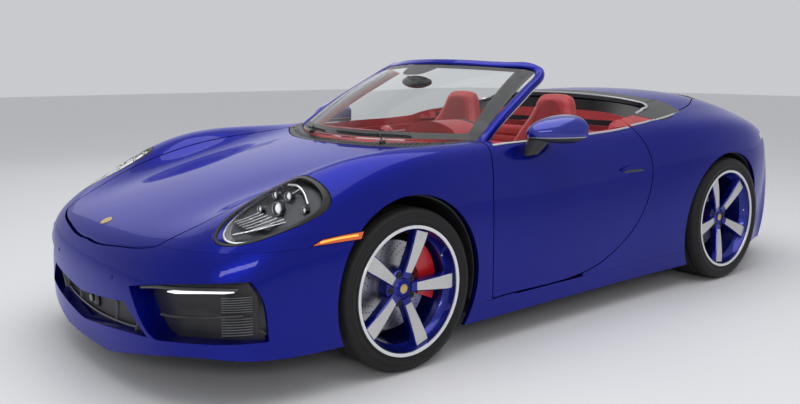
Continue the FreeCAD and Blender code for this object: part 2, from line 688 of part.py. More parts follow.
def intake_zone(grow=0):
    """The side intake's outline from the front, ended by its outline from the side."""
    across_front = front_zone(SIDE_INTAKE, grow=grow, high=INTAKE_BACK + grow)
    return across_front.common(side_zone(SIDE_INTAKE_END, grow=grow))


def behind(depth, drop=0):
    """The car's form pushed back by a depth."""
    return OUTER.translated(Vector(0, depth, -drop))


def recess_walls(zone_at, depth):
    """Walls from the skin to the back of a recess, round the opening."""
    wall = zone_at(size("recess_wall")).cut(zone_at(0))
    return wall.common(OUTER).cut(behind(depth)).cut(GROUND)


def recess_back(zone_at, depth):
    """The insert that closes a recess behind its walls."""
    front, rear = depth + size("seat_gap"), depth + size("insert_wall")
    return one_solid(zone_at(size("insert_wall")).common(behind(front)).cut(behind(rear)))


centre_opening = centre_zone()
side_opening = intake_zone()
marker_zone = side_zone(MARKER_OUTLINE)
around_marker = side_zone(MARKER_OUTLINE, grow=SEAM)
lamp_in = lamp_zone_at(0)
around_lamps = lamp_zone_at(SEAM)

side_walls = recess_walls(intake_zone, size("side_recess"))
front_bumper = front_bumper.fuse([recess_walls(centre_zone, size("centre_recess")), side_walls,
                                  mirrored(side_walls)])
for opening in (centre_opening, side_opening, mirrored(side_opening), around_marker,
                mirrored(around_marker), front_zone(BUMPER_EDGE, high=INTAKE_BACK + 600)):
    front_bumper = front_bumper.cut(opening)
front_fender = one_solid(front_fender.cut([around_lamps, around_marker]))
front_bumper = one_solid(front_bumper.cut([around_lamps, mirrored(around_lamps)]))
headlamp = one_solid(OUTER.common(lamp_in).cut(LINING))
marker = one_solid(OUTER.common(marker_zone).cut(LINING))

lamp_housing = lamp_zone_at(0).common(ENVELOPE)
lamp_housing = lamp_housing.cut(behind(size("lamp_depth") + size("recess_wall"), LAMP_DROP))
lamp_room = lamp_zone_at(-size("recess_wall")).cut(behind(size("lamp_depth"), LAMP_DROP))
lamp_housing = one_solid(lamp_housing.cut(lamp_room))
centre_insert = recess_back(centre_zone, size("centre_recess"))
side_insert = recess_back(intake_zone, size("side_recess"))

node("front_bumper", front_bumper)
node("front_intakes", Part.makeCompound([centre_insert, side_insert, mirrored(side_insert)]))
node("front_lamps", Part.makeCompound([headlamp, mirrored(headlamp), marker, mirrored(marker)]))
node("lamp_housings", pair(lamp_housing))
node("front_fenders", pair(front_fender))
node("rear_quarters", pair(rear_quarter))
node("side_sills", pair(sill))
node("rear_bumper", one_solid(rear_bumper.cut(exhaust_opening)))
node("tail_lamp", tail_lamp)
node("wiper_cowl", wiper_cowl)
node("front_lid", front_lid)
node("engine_lid", engine_lid)
node("top_cover", top_cover)
node("cover_band", cover_band)
node("deck_strip", deck_strip)
node("rear_side_trims", pair(side_trim))

# Doors: the skin, a frame behind it drawn in from the shut line, and the inner trim.
FRAME_INSET = 22
DOOR_INNER = across(880) - size("door_depth")
TRIM_DEPTH = 26
door_skin = skin(DOOR_ZONE, cockpit)
door_frame = OUTER.common(side_zone(DOOR_OUTLINE, grow=-SHUT / 2 - FRAME_INSET, low=DOOR_INNER))
door_frame = one_solid(door_frame.common(inset_form(SKIN - 1)).cut(cockpit))
DOOR_AXIS_X, DOOR_AXIS_Y = across(884), along(-694)
DOOR_HINGES = [(level(340), level(385)), (level(535), level(580))]
DOOR_EYE_RADIUS, DOOR_HINGE_SPARE, POCKET_REACH, ARM_SWEEP = 5.6, 4, 75, 3.6
PILLAR_SWEEP = range(4, 33, 4)
left_door = one_solid(door_skin.fuse(door_frame).cut(around_frame))


def door_post_pin(low, high, radius):
    return bar(Vector(DOOR_AXIS_X, DOOR_AXIS_Y, low), Vector(DOOR_AXIS_X, DOOR_AXIS_Y, high), radius)


def door_hinge_arm(low, high):
    """An eye round the door's pin, held from the post ahead of the door."""
    arm_back = DOOR_AXIS_X - 60
    arm = fused([
        door_post_pin(low, high, DOOR_EYE_RADIUS),
        box(arm_back, DOOR_AXIS_X, DOOR_AXIS_Y - ARM_HALF, DOOR_AXIS_Y + ARM_HALF, low, high),
        box(arm_back, arm_back + 12, along(-760), DOOR_AXIS_Y + ARM_HALF, low, high),
    ])
    return arm.cut(door_post_pin(low - 1, high + 1, PIN_RADIUS + size("pin_clearance")))


for low, high in DOOR_HINGES:
    pocket = box(DOOR_AXIS_X - POCKET_REACH, DOOR_AXIS_X + ARM_SWEEP, along(-760), DOOR_AXIS_Y + 14, low, high)
    pocket = pocket.fuse(door_post_pin(low, high, DOOR_EYE_RADIUS + size("pin_clearance")))
    left_door = left_door.cut(pocket).fuse(door_post_pin(low - 4, high + 4, PIN_RADIUS))
pillar_foot = around_frame.common(box(600, FAR, along(-760), along(-480), level(830), level(1000)))
for angle in PILLAR_SWEEP:
    left_door = left_door.cut(pillar_foot.rotated(Vector(DOOR_AXIS_X, DOOR_AXIS_Y, 0), Vector(0, 0, 1), angle))
left_door = one_solid(left_door)
door_hinge_arms = [door_hinge_arm(low + DOOR_HINGE_SPARE, high - DOOR_HINGE_SPARE) for low, high in DOOR_HINGES]
TRIM_OUTLINE = [
    [(-640, 262), (60, 276), (240, 372), (400, 560), (410, 800)],
    [(410, 800), (410, 872)],
    [(410, 872), (-630, 852)],
    [(-630, 852), (-640, 262)],
]
door_trim = side_zone(TRIM_OUTLINE, low=DOOR_INNER - size("seat_gap") - TRIM_DEPTH,
                      high=DOOR_INNER - size("seat_gap"))
armrest = side_zone(rectangle(-420, 200, 560, 620), low=DOOR_INNER - size("seat_gap") - TRIM_DEPTH - 45,
                    high=DOOR_INNER - size("seat_gap") - TRIM_DEPTH)
door_trim = fused([door_trim, armrest])
node("left_door", left_door)
node("right_door", mirrored(left_door))
node("left_door_trim", door_trim)
node("right_door_trim", mirrored(door_trim))

# Structure under the skin: floor, posts, wheel houses, luggage tub and bulkheads.
STEER_LOCK = 31
FRONT_WHEEL_Z = size("front_tyre_radius")
REAR_WHEEL_Z = size("rear_tyre_radius")
KINGPIN_X = size("front_wheel_offset") - size("kingpin_offset")
lock_sine, lock_cosine = math.sin(math.radians(STEER_LOCK)), math.cos(math.radians(STEER_LOCK))
FRONT_HOUSE_X = (KINGPIN_X - (size("front_tyre_width") / 2 - size("kingpin_offset")) * lock_cosine
                 - size("front_tyre_radius") * lock_sine - 9)
REAR_HOUSE_X = size("rear_wheel_offset") - size("rear_tyre_width") / 2 - 20
HOUSE_WALL = 8
FLOOR_LOW = UNDERSIDE + 4
FLOOR_HIGH = FLOOR_LOW + 24


def wheel_house(axle_y, axle_z, radius, inner_x, bottom):
    tube = axle_cylinder(axle_y, axle_z, radius + HOUSE_WALL, inner_x - HOUSE_WALL, FAR)
    tube = tube.cut(axle_cylinder(axle_y, axle_z, radius, inner_x, FAR))
    return tube.cut(box(0, FAR, -FAR, FAR, -FAR, bottom))


TUB_FRONT, TUB_REAR = along(-1990), along(-1080)
TUB_HALF, TUB_WALL, TUB_LOW = 400, 12, 330
REAR_ARM_SLOT = box(REAR_HOUSE_X - 30, REAR_HOUSE_X + 30, REAR_AXLE - 50, REAR_AXLE + 50, 220, 400)
FRONT_ARM_SLOT = box(FRONT_HOUSE_X - 30, FRONT_HOUSE_X + 30, FRONT_AXLE - 60, FRONT_AXLE + 60, 190, 330)


def both(shapes):
    return shapes + [mirrored(shape) for shape in shapes]


def floor_parts():
    """The cabin floor with its tunnel, sills and door posts."""
    posts = [
        box(690, FAR, along(-770), along(790), FLOOR_LOW, SILL_TOP - 4),
        box(712, FAR, along(-770), along(-744), FLOOR_LOW, level(840)),
        box(DOOR_INNER - 38, DOOR_INNER - 14, along(430), along(700), FLOOR_LOW, level(820)),
        box(DOOR_INNER - 38, FAR, along(560), along(590), FLOOR_LOW, level(820)),
    ]
    return both(posts) + [
        box(-FAR, FAR, along(-770), along(790), FLOOR_LOW, FLOOR_HIGH),
        box(-120, 120, along(-750), along(680), FLOOR_HIGH, 290),
    ]


def end_frames():
    """The low frames ahead of and behind the cabin, each with an upright beam at its end."""
    front = [
        box(-FRONT_HOUSE_X + 4, FRONT_HOUSE_X - 4, along(-2010), along(-770), FLOOR_LOW, FLOOR_HIGH),
        box(-FRONT_HOUSE_X + 4, FRONT_HOUSE_X - 4, along(-2016), along(-1988), FLOOR_LOW, level(520)),
    ]
    rear = [
        box(-REAR_HOUSE_X + 4, REAR_HOUSE_X - 4, along(700), along(1960), FLOOR_HIGH, FLOOR_HIGH + 24),
        box(-560, 560, along(1960), along(1976), FLOOR_HIGH, level(760)),
    ]
    return [one_solid(fused(parts).common(ENVELOPE)) for parts in (front, rear)]


def luggage_tub():
    """An open tub under the front lid, held by a rail along each side."""
    rails = both([box(TUB_HALF - TUB_WALL, TUB_HALF, TUB_REAR - TUB_WALL, along(-770), TUB_LOW, TUB_LOW + 90)])
    tub = box(-TUB_HALF, TUB_HALF, TUB_FRONT, TUB_REAR, TUB_LOW - TUB_WALL, level(900)).cut(
        box(-TUB_HALF + TUB_WALL, TUB_HALF - TUB_WALL, TUB_FRONT + TUB_WALL, TUB_REAR - TUB_WALL,
            TUB_LOW, FAR))
    return one_solid(fused([tub.common(inset_form(SKIN + 8))] + rails))


def wheel_houses():
    front = wheel_house(FRONT_AXLE, FRONT_WHEEL_Z, size("front_tyre_radius") + 47.5, FRONT_HOUSE_X, 230)
    rear = wheel_house(REAR_AXLE, REAR_WHEEL_Z, size("rear_tyre_radius") + 26, REAR_HOUSE_X, 230)
    return front.cut(FRONT_ARM_SLOT).common(ENVELOPE), rear.cut(REAR_ARM_SLOT).common(ENVELOPE)


def hood_arm_space(x):
    """Room for a front lid's arm where it passes the firewall and the dashboard."""
    half = size("lid_arm_width") / 2 + POCKET_SPARE
    return box(x - half, x + half, HOOD_HINGE_Y - 60, HOOD_HINGE_Y + 16,
               HOOD_HINGE_Z - size("lid_arm_drop") - 12, FAR)


HOOD_ARM_SPACES = [hood_arm_space(x) for x in (HOOD_ARM_X, -HOOD_ARM_X)]
JACK_X, JACK_Y = across(660), (along(-700), along(720))


def jack_pads():
    places = [Vector(x, y, FLOOR_LOW) for x in (JACK_X, -JACK_X) for y in JACK_Y]
    return [bar(spot - Vector(0, 0, size("jack_pad_height")), spot, size("jack_pad_radius")) for spot in places]


floor_pan = fused(floor_parts()).common(ENVELOPE).cut(HOOD_ARM_SPACES)
floor_pan = one_solid(fused([floor_pan] + jack_pads() + both(door_hinge_arms)))
firewall = box(-720, 720, along(-770), along(-750), FLOOR_HIGH, level(850)).common(ENVELOPE)
firewall = one_solid(firewall.cut(HOOD_ARM_SPACES).cut(floor_pan))
rear_bulkhead = box(-DOOR_INNER + 20, DOOR_INNER - 20, along(680), along(700), FLOOR_HIGH, level(930))
rear_bulkhead = one_solid(rear_bulkhead.common(ENVELOPE).cut(floor_pan))
front_frame, rear_frame = end_frames()
tub = one_solid(luggage_tub().cut(firewall).cut(front_frame))
houses = [one_solid(house.cut(floor_pan).cut(frame))
          for house, frame in zip(wheel_houses(), (front_frame, rear_frame))]
node("floor_pan", floor_pan)
node("bulkheads", Part.makeCompound([firewall, rear_bulkhead]))
node("end_frames", Part.makeCompound([front_frame, rear_frame]))
node("luggage_tub", tub)
node("wheel_houses", Part.makeCompound(both(houses)))
engine_block = box(-300, 300, along(1330), along(1940), FLOOR_HIGH + 24 + size("seat_gap"), level(640))
node("engine_block", engine_block)

# Cabin.
GAP = size("seat_gap")
DASH_PROFILE = [
    [(-749.7, 640), (-749.7, 852)],
    [(-749.7, 852), (-700, 876), (-560, 898), (-500, 884), (-462, 826)],
    [(-462, 826), (-470, 740), (-520, 640)],
    [(-520, 640), (-749.7, 640)],
]
dash = side_zone(DASH_PROFILE, low=-680, high=680)
HOOD_X = 372
hood_curve = Part.Ellipse(Vector(HOOD_X, 0, 860), 205, 96).toShape()
hood = Part.Face(Part.Wire(hood_curve))
hood.rotate(Vector(HOOD_X, 0, 860), Vector(1, 0, 0), 90)
hood.translate(Vector(0, along(-640), level(882) - 860))
hood = hood.extrude(Vector(0, 190, 0))
WHEEL_CENTRE = Vector(HOOD_X, along(-335), level(800))
RAKE = 24
COLUMN = Vector(0, math.cos(math.radians(RAKE)), math.sin(math.radians(RAKE)))
shroud = bar(WHEEL_CENTRE - COLUMN * 260, WHEEL_CENTRE - COLUMN * 32, 46)
dashboard = one_solid(fused([dash, hood, shroud]).common(inset_form(SKIN + 2).fuse(
    box(HOOD_X - 210, HOOD_X + 210, along(-660), along(-340), level(600), level(990)))))
dashboard = one_solid(dashboard.cut(HOOD_ARM_SPACES).cut(
    bar(WHEEL_CENTRE - COLUMN * 120, WHEEL_CENTRE, 12 + size("bearing_clearance"))))
node("dashboard", dashboard)
CONSOLE_PROFILE = [
    [(-740, 292), (-740, 560)],
    [(-740, 560), (-560, 600), (-420, 560), (-250, 500)],
    [(-250, 500), (340, 545)],
    [(340, 545), (350, 292)],
    [(350, 292), (-740, 292)],
]
console = side_zone(CONSOLE_PROFILE, low=-118, high=118)
node("centre_console", console)

SEAT_X = 372


def seat_section(y, z, width, depth, tilt):
    section = rounded_section(width, depth, depth * 0.42)
    section.Placement = FreeCAD.Placement(
        Vector(SEAT_X, along(y), level(z)), FreeCAD.Rotation(Vector(1, 0, 0), -tilt))
    return section


def front_seat():
    cushion = side_zone([
        [(-310, 330), (-330, 440), (-270, 478)],
        [(-270, 478), (0, 440), (190, 430)],
        [(190, 430), (200, 330)],
        [(200, 330), (-310, 330)],
    ], low=SEAT_X - 250, high=SEAT_X + 250)
    back = Part.makeLoft([
        seat_section(150, 400, 500, 130, 14), seat_section(196, 560, 510, 140, 14),
        seat_section(240, 740, 520, 130, 15), seat_section(286, 900, 430, 110, 16),
        seat_section(312, 1010, 300, 105, 14), seat_section(330, 1100, 230, 90, 12)], True, False)
    base = box(SEAT_X - 200, SEAT_X + 200, along(-230), along(150), FLOOR_HIGH + GAP, level(331))
    return fused([cushion, back, base])


left_seat = front_seat()
node("front_seats", pair(left_seat))

rear_back = side_zone([
    [(520, 420), (640, 900)],
    [(640, 900), (679.7, 900)],
    [(679.7, 900), (679.7, 420)],
    [(679.7, 420), (520, 420)],
], low=-560, high=560)
rear_base = side_zone([
    [(380, FLOOR_HIGH), (380, 400), (400, 428)],
    [(400, 428), (560, 404)],
    [(560, 404), (670, 404)],
    [(670, 404), (670, FLOOR_HIGH)],
    [(670, FLOOR_HIGH), (380, FLOOR_HIGH)],
], low=130, high=560)
rear_base = rear_base.cut(box(0, FAR, 0, FAR, 0, FLOOR_HIGH + GAP))
rear_seats = fused([rear_back, rear_base, mirrored(rear_base)])
node("rear_seats", rear_seats)
mirror_body = Part.makeSphere(1)
stretch = FreeCAD.Matrix()
stretch.scale(115, 16, 34)
interior_mirror = mirror_body.transformGeometry(stretch)
interior_mirror.translate(Vector(0, along(-400), level(1160)))
mirror_stem = bar(Vector(0, along(-400), level(1160)), Vector(0, along(-500), level(1210)), 8)
interior_mirror = one_solid(fused([interior_mirror, mirror_stem]).cut(
    glass.extrude(Vector(0, -0.5, 0.866) * 100)))
node("interior_mirror", interior_mirror)

# Door mirrors: a domed shell with a flat back, on a foot on the door.
MIRROR_BACK = -236
MIRROR_PROFILE = [  # share of the depth ahead of the back, share of the height
    (0, 0.42), (0.05, 0.475), (0.2, 0.5), (0.42, 0.47), (0.68, 0.37), (0.9, 0.19), (1.0, -0.06),
    (0.92, -0.28), (0.62, -0.42), (0.2, -0.49), (0.04, -0.46), (0, -0.41),
]
MIRROR_STATIONS = [  # across, depth, height, middle height
    (808, 140, 60, 940), (828, 212, 106, 945), (868, 232, 132, 951), (912, 212, 138, 953),
    (962, 158, 126, 955), (1000, 86, 92, 954), (1020, 30, 46, 952),
]
MIRROR_FOOT = [((838, -432, 834), 38, (-0.2, 0, 1)), ((868, -388, 925), 54, (0.2, 0.1, 1))]


def mirror_wire(x, depth, height, z):
    points = [place((x, MIRROR_BACK - ahead * depth, z + up * height)) for ahead, up in MIRROR_PROFILE]
    curve = Part.BSplineCurve()
    curve.interpolate(points)
    return Part.Wire([curve.toShape(), Part.makeLine(points[-1], points[0])])


mirror_shell = Part.makeLoft([mirror_wire(*values) for values in MIRROR_STATIONS], True, False)
foot = Part.makeLoft([Part.Wire(Part.makeCircle(radius, place(middle), Vector(*direction)))
                      for middle, radius, direction in MIRROR_FOOT], True)
mirror = one_solid(mirror_shell.fuse(foot).cut(left_door))
node("left_door_mirror", mirror)
node("right_door_mirror", mirrored(mirror))

# Wheels: each is drawn round its own axis, X outwards, and placed at its axle.
FRONT_HUB = Vector(size("front_wheel_offset"), FRONT_AXLE, FRONT_WHEEL_Z)
REAR_HUB = Vector(size("rear_wheel_offset"), REAR_AXLE, REAR_WHEEL_Z)
CORNERS = {
    "left_front": (FRONT_HUB, 1), "right_front": (FRONT_HUB, -1),
    "left_rear": (REAR_HUB, 1), "right_rear": (REAR_HUB, -1),
}
BEAD_DROP = 17.5


def corner_placement(corner):
    """The right side's wheels are the left side's turned half round."""
    hub, side = CORNERS[corner]
    turn = FreeCAD.Rotation(Vector(0, 0, 1), 0 if side > 0 else 180)
    return FreeCAD.Placement(Vector(hub.x * side, hub.y, hub.z), turn)


def origin_plane(body, role):
    return [item for item in body.Origin.OriginFeatures if item.Role == role][0]


def sketch_on(body, role, name, vertices, offset=None):
    """A closed outline whose corners follow expressions of the sheet's sizes."""
    sketch = body.newObject("Sketcher::SketchObject", name)
    sketch.AttachmentSupport = [(origin_plane(body, role), "")]
    sketch.MapMode = "FlatFace"
    if offset:
        sketch.setExpression("AttachmentOffset.Base.z", offset)
    values = [[float(sheet.evalExpression(term.replace("Sizes.", ""))) for term in vertex]
              for vertex in vertices]
    points = [Vector(x, y, 0) for x, y in values]
    count = len(points)
    for index, point in enumerate(points):
        sketch.addGeometry(Part.LineSegment(point, points[(index + 1) % count]), False)
    for index in range(count):
        sketch.addConstraint(Sketcher.Constraint("Coincident", index, 2, (index + 1) % count, 1))
    for index, vertex in enumerate(vertices):
        for kind, term, value in zip(("DistanceX", "DistanceY"), vertex, values[index]):
            place_it = Sketcher.Constraint(kind, -1, 1, index, 1, value)
            number = sketch.addConstraint(place_it)
            sketch.setExpression("Constraints[%d]" % number, term)
    return sketch


def revolved(body, sketch, name):
    turn = body.newObject("PartDesign::Revolution", name)
    turn.Profile = sketch
    turn.ReferenceAxis = (sketch, ["H_Axis"])
    turn.Angle = 360
    return turn


def tyre(corner, end):
    body = doc.addObject("PartDesign::Body", corner + "_tyre")
    body.Label = corner + "_tyre"
    radius, width, rim = ("Sizes.%s_%s" % (end, word) for word in ("tyre_radius", "tyre_width", "rim_radius"))
    half = [
        (f"{width} / 2 - 14", f"{rim} - {BEAD_DROP} + 0.3"),
        (f"{width} / 2 - 13", f"{rim} + 3"),
        (f"{width} / 2 - 2", f"{rim} + 18"),
        (f"{width} / 2", f"{rim} + 32"),
        (f"{width} / 2 - 5", f"{radius} - 17"),
        (f"{width} / 2 - 18", f"{radius} - 5"),
        (f"{width} / 2 - 40", f"{radius} - 1"),
    ]
    other = [("-(%s)" % x, y) for x, y in reversed(half)]
    crown = [(f"{width} * 0", radius)]
    sketch = sketch_on(body, "XY_Plane", corner + "_tyre_section", half + crown + other)
    revolved(body, sketch, corner + "_tyre_ring")
    body.Placement = corner_placement(corner)
    return body


def rim(corner, end):
    """Barrel, hub and spokes."""
    body = doc.addObject("PartDesign::Body", corner + "_rim")
    body.Label = corner + "_rim"
    width, lip = ("Sizes.%s_%s" % (end, word) for word in ("tyre_width", "rim_radius"))
    wall = "Sizes.rim_wall"
    bore = "Sizes.hub_radius + Sizes.bearing_clearance"
    seat = f"{lip} - {BEAD_DROP}"
    section = [
        (f"{width} / 2 - 4", lip), (f"{width} / 2 - 12", lip), (f"{width} / 2 - 14", f"{seat}"),
        (f"{width} / 2 - 42", seat), (f"{width} / 2 - 54", f"{seat} - 12"),
        (f"-({width} / 2 - 54)", f"{seat} - 12"), (f"-({width} / 2 - 42)", seat),
        (f"-({width} / 2 - 14)", seat), (f"-({width} / 2 - 12)", lip), (f"-({width} / 2 - 4)", lip),
        (f"-({width} / 2 - 6)", f"{seat} - {wall}"), (f"-({width} / 2 - 46)", f"{seat} - {wall}"),
        (f"-({width} / 2 - 58)", f"{seat} - {wall} - 12"),
        (f"{width} / 2 - 50", f"{seat} - {wall} - 12"),
        (f"{width} / 2 - 40", f"{seat} - {wall}"), (f"{width} / 2 - 6", f"{seat} - {wall}"),
    ]
    sketch = sketch_on(body, "XY_Plane", corner + "_barrel_section", section)
    revolved(body, sketch, corner + "_barrel")
    hub = [("2 + 0", bore), ("2 + 0", "Sizes.hub_radius + 48"),
           (f"{width} / 2 - 64", "Sizes.hub_radius + 40"),
           (f"{width} / 2 - 52", "Sizes.hub_radius + 2"), (f"{width} / 2 - 50", "0 * 1"),
           ("Sizes.spindle_length + 4", "0 * 1"), ("Sizes.spindle_length + 4", bore)]
    hub_sketch = sketch_on(body, "XY_Plane", corner + "_hub_section", hub)
    revolved(body, hub_sketch, corner + "_hub")
    spoke_root, spoke_tip = "Sizes.hub_radius + 20", f"{seat} - {wall} - 4"
    outline = [
        ("0 - 40", spoke_root), ("0 - 33", f"({spoke_tip}) * 0.62"), ("0 - 62", spoke_tip),
        ("0 + 62", spoke_tip), ("0 + 33", f"({spoke_tip}) * 0.62"), ("0 + 40", spoke_root),
    ]
    spoke_sketch = sketch_on(body, "YZ_Plane", corner + "_spoke_outline", outline, offset=f"{width} / 2 - 70")
    spoke = body.newObject("PartDesign::Pad", corner + "_spoke")
    spoke.Profile = spoke_sketch
    spoke.Length = 46
    pattern = body.newObject("PartDesign::PolarPattern", corner + "_spokes")
    pattern.Originals = [spoke]
    pattern.Axis = (spoke_sketch, ["N_Axis"])
    pattern.Angle = 360
    pattern.setExpression("Occurrences", "Sizes.spoke_count")
    body.Tip = pattern
    body.Placement = corner_placement(corner)
    return body


def brake_disc(corner, end):
    """A disc with its hat, which the rim's hub clamps to the bearing."""
    body = doc.addObject("PartDesign::Body", corner + "_brake_disc")
    body.Label = corner + "_brake_disc"
    radius, thickness = "Sizes.%s_disc_radius" % end, "Sizes.disc_thickness"
    bore = "Sizes.hub_radius + Sizes.bearing_clearance"
    section = [
        ("2 - 0.3", bore), ("2 - 0.3", "Sizes.hub_radius + 46"), ("0 - 12", "Sizes.hub_radius + 50"),
        ("0 - 12", radius), (f"0 - 12 - {thickness}", radius), (f"0 - 12 - {thickness}", f"{radius} - 78"),
        ("0 - 20", f"{radius} - 84"), ("0 - 20", "Sizes.hub_radius + 42"),
        ("0 - 8", "Sizes.hub_radius + 38"), ("0 - 8", bore)]
    sketch = sketch_on(body, "XY_Plane", corner + "_disc_section", section)
    revolved(body, sketch, corner + "_disc_ring")
    body.Placement = corner_placement(corner)
    return body


for corner in CORNERS:
    end = corner.split("_")[1]
    tyre(corner, end)
    rim(corner, end)
    brake_disc(corner, end)
doc.recompute()

DISC_BACK = 12 + size("disc_thickness")
HOUSING_GAP = 8


def caliper(radius, middle_angle):
    """A bridge over the disc's edge with a pad each side, drawn round the wheel's axis."""
    x0, x1 = -DISC_BACK - 36, 24
    whole = Part.makeCylinder(radius + 27, x1 - x0, Vector(x0, 0, 0), Vector(1, 0, 0), 70)
    whole = whole.cut(axle_cylinder(0, 0, radius - 64, x0 - 1, x1 + 1))
    whole = whole.cut(axle_cylinder(0, 0, radius + 6, -DISC_BACK - 6, -12 + 6))
    whole = one_solid(whole)
    middle = whole.CenterOfMass
    now = math.degrees(math.atan2(middle.z, middle.y))
    whole.rotate(Vector(0, 0, 0), Vector(1, 0, 0), middle_angle - now)
    return whole


def carrier(hub, disc_radius, caliper_angle):
    """Bearing housing, spindle and caliper of one wheel, left side."""
    face = hub.x - DISC_BACK - HOUSING_GAP
    spindle = axle_cylinder(hub.y, hub.z, size("hub_radius"), face - 44, hub.x + size("spindle_length"))
    housing = axle_cylinder(hub.y, hub.z, 60, face - 44, face)
    pads = caliper(disc_radius, caliper_angle)
    pads.translate(hub)
    reach = math.radians(caliper_angle)
    out = disc_radius - 30
    hold = Vector(face - 16, hub.y + out * math.cos(reach), hub.z + out * math.sin(reach))
    bracket = bar(Vector(face - 16, hub.y, hub.z), hold, 15)
    return [spindle, housing, pads, bracket]


# Front knuckles turn about a kingpin that the lower arm carries.
ARM_Z = FRONT_WHEEL_Z - 118
PIN = size("kingpin_radius")
CLEAR = size("bearing_clearance")
kingpin = bar(Vector(KINGPIN_X, FRONT_AXLE, ARM_Z - 24), Vector(KINGPIN_X, FRONT_AXLE, FRONT_WHEEL_Z - 30), PIN)
left_knuckle = fused(carrier(FRONT_HUB, size("front_disc_radius"), 12) + [kingpin])
node("left_front_knuckle", left_knuckle)
node("right_front_knuckle", mirrored(left_knuckle))

STRUT_X = 585


def front_suspension():
    """The crossmember with its lower arms and struts."""
    arm = fused([
        box(FRONT_HOUSE_X - 40, KINGPIN_X, FRONT_AXLE - 12, FRONT_AXLE + 12, ARM_Z - 12, ARM_Z + 12),
        bar(Vector(KINGPIN_X, FRONT_AXLE, ARM_Z - 12), Vector(KINGPIN_X, FRONT_AXLE, ARM_Z + 12), 14.5),
    ]).cut(bar(Vector(KINGPIN_X, FRONT_AXLE, 0), Vector(KINGPIN_X, FRONT_AXLE, ARM_Z + 60), PIN + CLEAR))
    strut = bar(Vector(STRUT_X, FRONT_AXLE, ARM_Z), Vector(STRUT_X, FRONT_AXLE, FRONT_WHEEL_Z + 260), 22)
    spring = bar(Vector(STRUT_X, FRONT_AXLE, ARM_Z + 110), Vector(STRUT_X, FRONT_AXLE, FRONT_WHEEL_Z + 200), 38)
    cross = box(-FRONT_HOUSE_X + 30, FRONT_HOUSE_X - 30, FRONT_AXLE - 50, FRONT_AXLE + 50, ARM_Z - 20, ARM_Z + 20)
    leg = box(200, 260, FRONT_AXLE - 40, FRONT_AXLE + 40, FLOOR_HIGH + GAP, ARM_Z)
    side = [arm, strut, spring, leg]
    return fused([cross] + side + [mirrored(shape) for shape in side])


REAR_ARM_Z = REAR_WHEEL_Z - 110


def rear_suspension():
    """Crossmember, lower arms, wheel carriers and half shafts."""
    face = REAR_HUB.x - DISC_BACK - HOUSING_GAP
    arm = box(REAR_HOUSE_X - 60, face - 8, REAR_AXLE - 24, REAR_AXLE + 24, REAR_ARM_Z - 14, REAR_ARM_Z + 14)
    drop = box(face - 40, face - 8, REAR_AXLE - 24, REAR_AXLE + 24, REAR_ARM_Z - 14, REAR_WHEEL_Z)
    shaft = axle_cylinder(REAR_AXLE, REAR_WHEEL_Z, 17, 100, face - 40)
    casing = axle_cylinder(REAR_AXLE, REAR_WHEEL_Z, 90, 0, 110)
    cross = box(0, REAR_HOUSE_X - 50, REAR_AXLE - 40, REAR_AXLE + 40, REAR_ARM_Z - 20, REAR_ARM_Z + 20)
    leg = box(240, 300, REAR_AXLE - 40, REAR_AXLE + 40, FLOOR_HIGH + 24 + GAP, REAR_ARM_Z)
    side = carrier(REAR_HUB, size("rear_disc_radius"), 168) + [arm, drop, shaft, casing, cross, leg]
    return fused(side + [mirrored(shape) for shape in side])


node("suspension", Part.makeCompound([front_suspension(), rear_suspension()]))

# Steering wheel on its column.
rim_radius, rim_thick = size("steering_wheel_radius"), size("steering_rim_radius")
ring = Part.makeTorus(rim_radius, rim_thick, WHEEL_CENTRE, COLUMN)
hub_disc = bar(WHEEL_CENTRE - COLUMN * 26, WHEEL_CENTRE + COLUMN * 8, 62)
spokes = []
for angle in (0, 180, 270):
    turn = FreeCAD.Rotation(COLUMN, angle)
    reach = turn.multVec(Vector(1, 0, 0))
    spokes.append(bar(WHEEL_CENTRE - COLUMN * 8, WHEEL_CENTRE - COLUMN * 8 + reach * rim_radius, 13))
column_pin = bar(WHEEL_CENTRE - COLUMN * 110, WHEEL_CENTRE - COLUMN * 20, 12)
node("steering_wheel", fused([ring, hub_disc, column_pin] + spokes))

# Exhaust under the tail.
TIP_X, TIP_Z, TIP_RADIUS = 96, 300, 46
silencer = box(-330, 330, along(1976) + GAP, along(2105), 190, 400)
tips = []
for x in (-TIP_X, TIP_X):
    tip = bar(Vector(x, along(2100), TIP_Z), Vector(x, TAIL - 14, TIP_Z), TIP_RADIUS)
    tips.append(tip.cut(bar(Vector(x, along(2120), TIP_Z), Vector(x, TAIL, TIP_Z), TIP_RADIUS - 4)))
node("exhaust", fused([silencer] + tips))
doc.recompute()


def check_document():
    for item in doc.Objects:
        if "Invalid" in item.State or "Error" in item.State:
            raise RuntimeError("failed: " + item.Label)


check_document()
os.makedirs("parts", exist_ok=True)
PIECES = [item for item in doc.Objects
          if item.TypeId in ("PartDesign::Body", "Part::Feature") and item.getParentGroup() is None]
for item in PIECES:
    if item.Shape.isNull() or not item.Shape.isValid():
        raise RuntimeError("bad shape: " + item.Label)
for item in PIECES:
    item.Shape.exportStep("parts/%s.step" % item.Label)
print(len(PIECES), "pieces")
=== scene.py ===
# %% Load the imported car
import math

import bmesh
import bpy
import numpy as np
from mathutils import Matrix, Vector
from mathutils.bvhtree import BVHTree
from mathutils.geometry import delaunay_2d_cdt


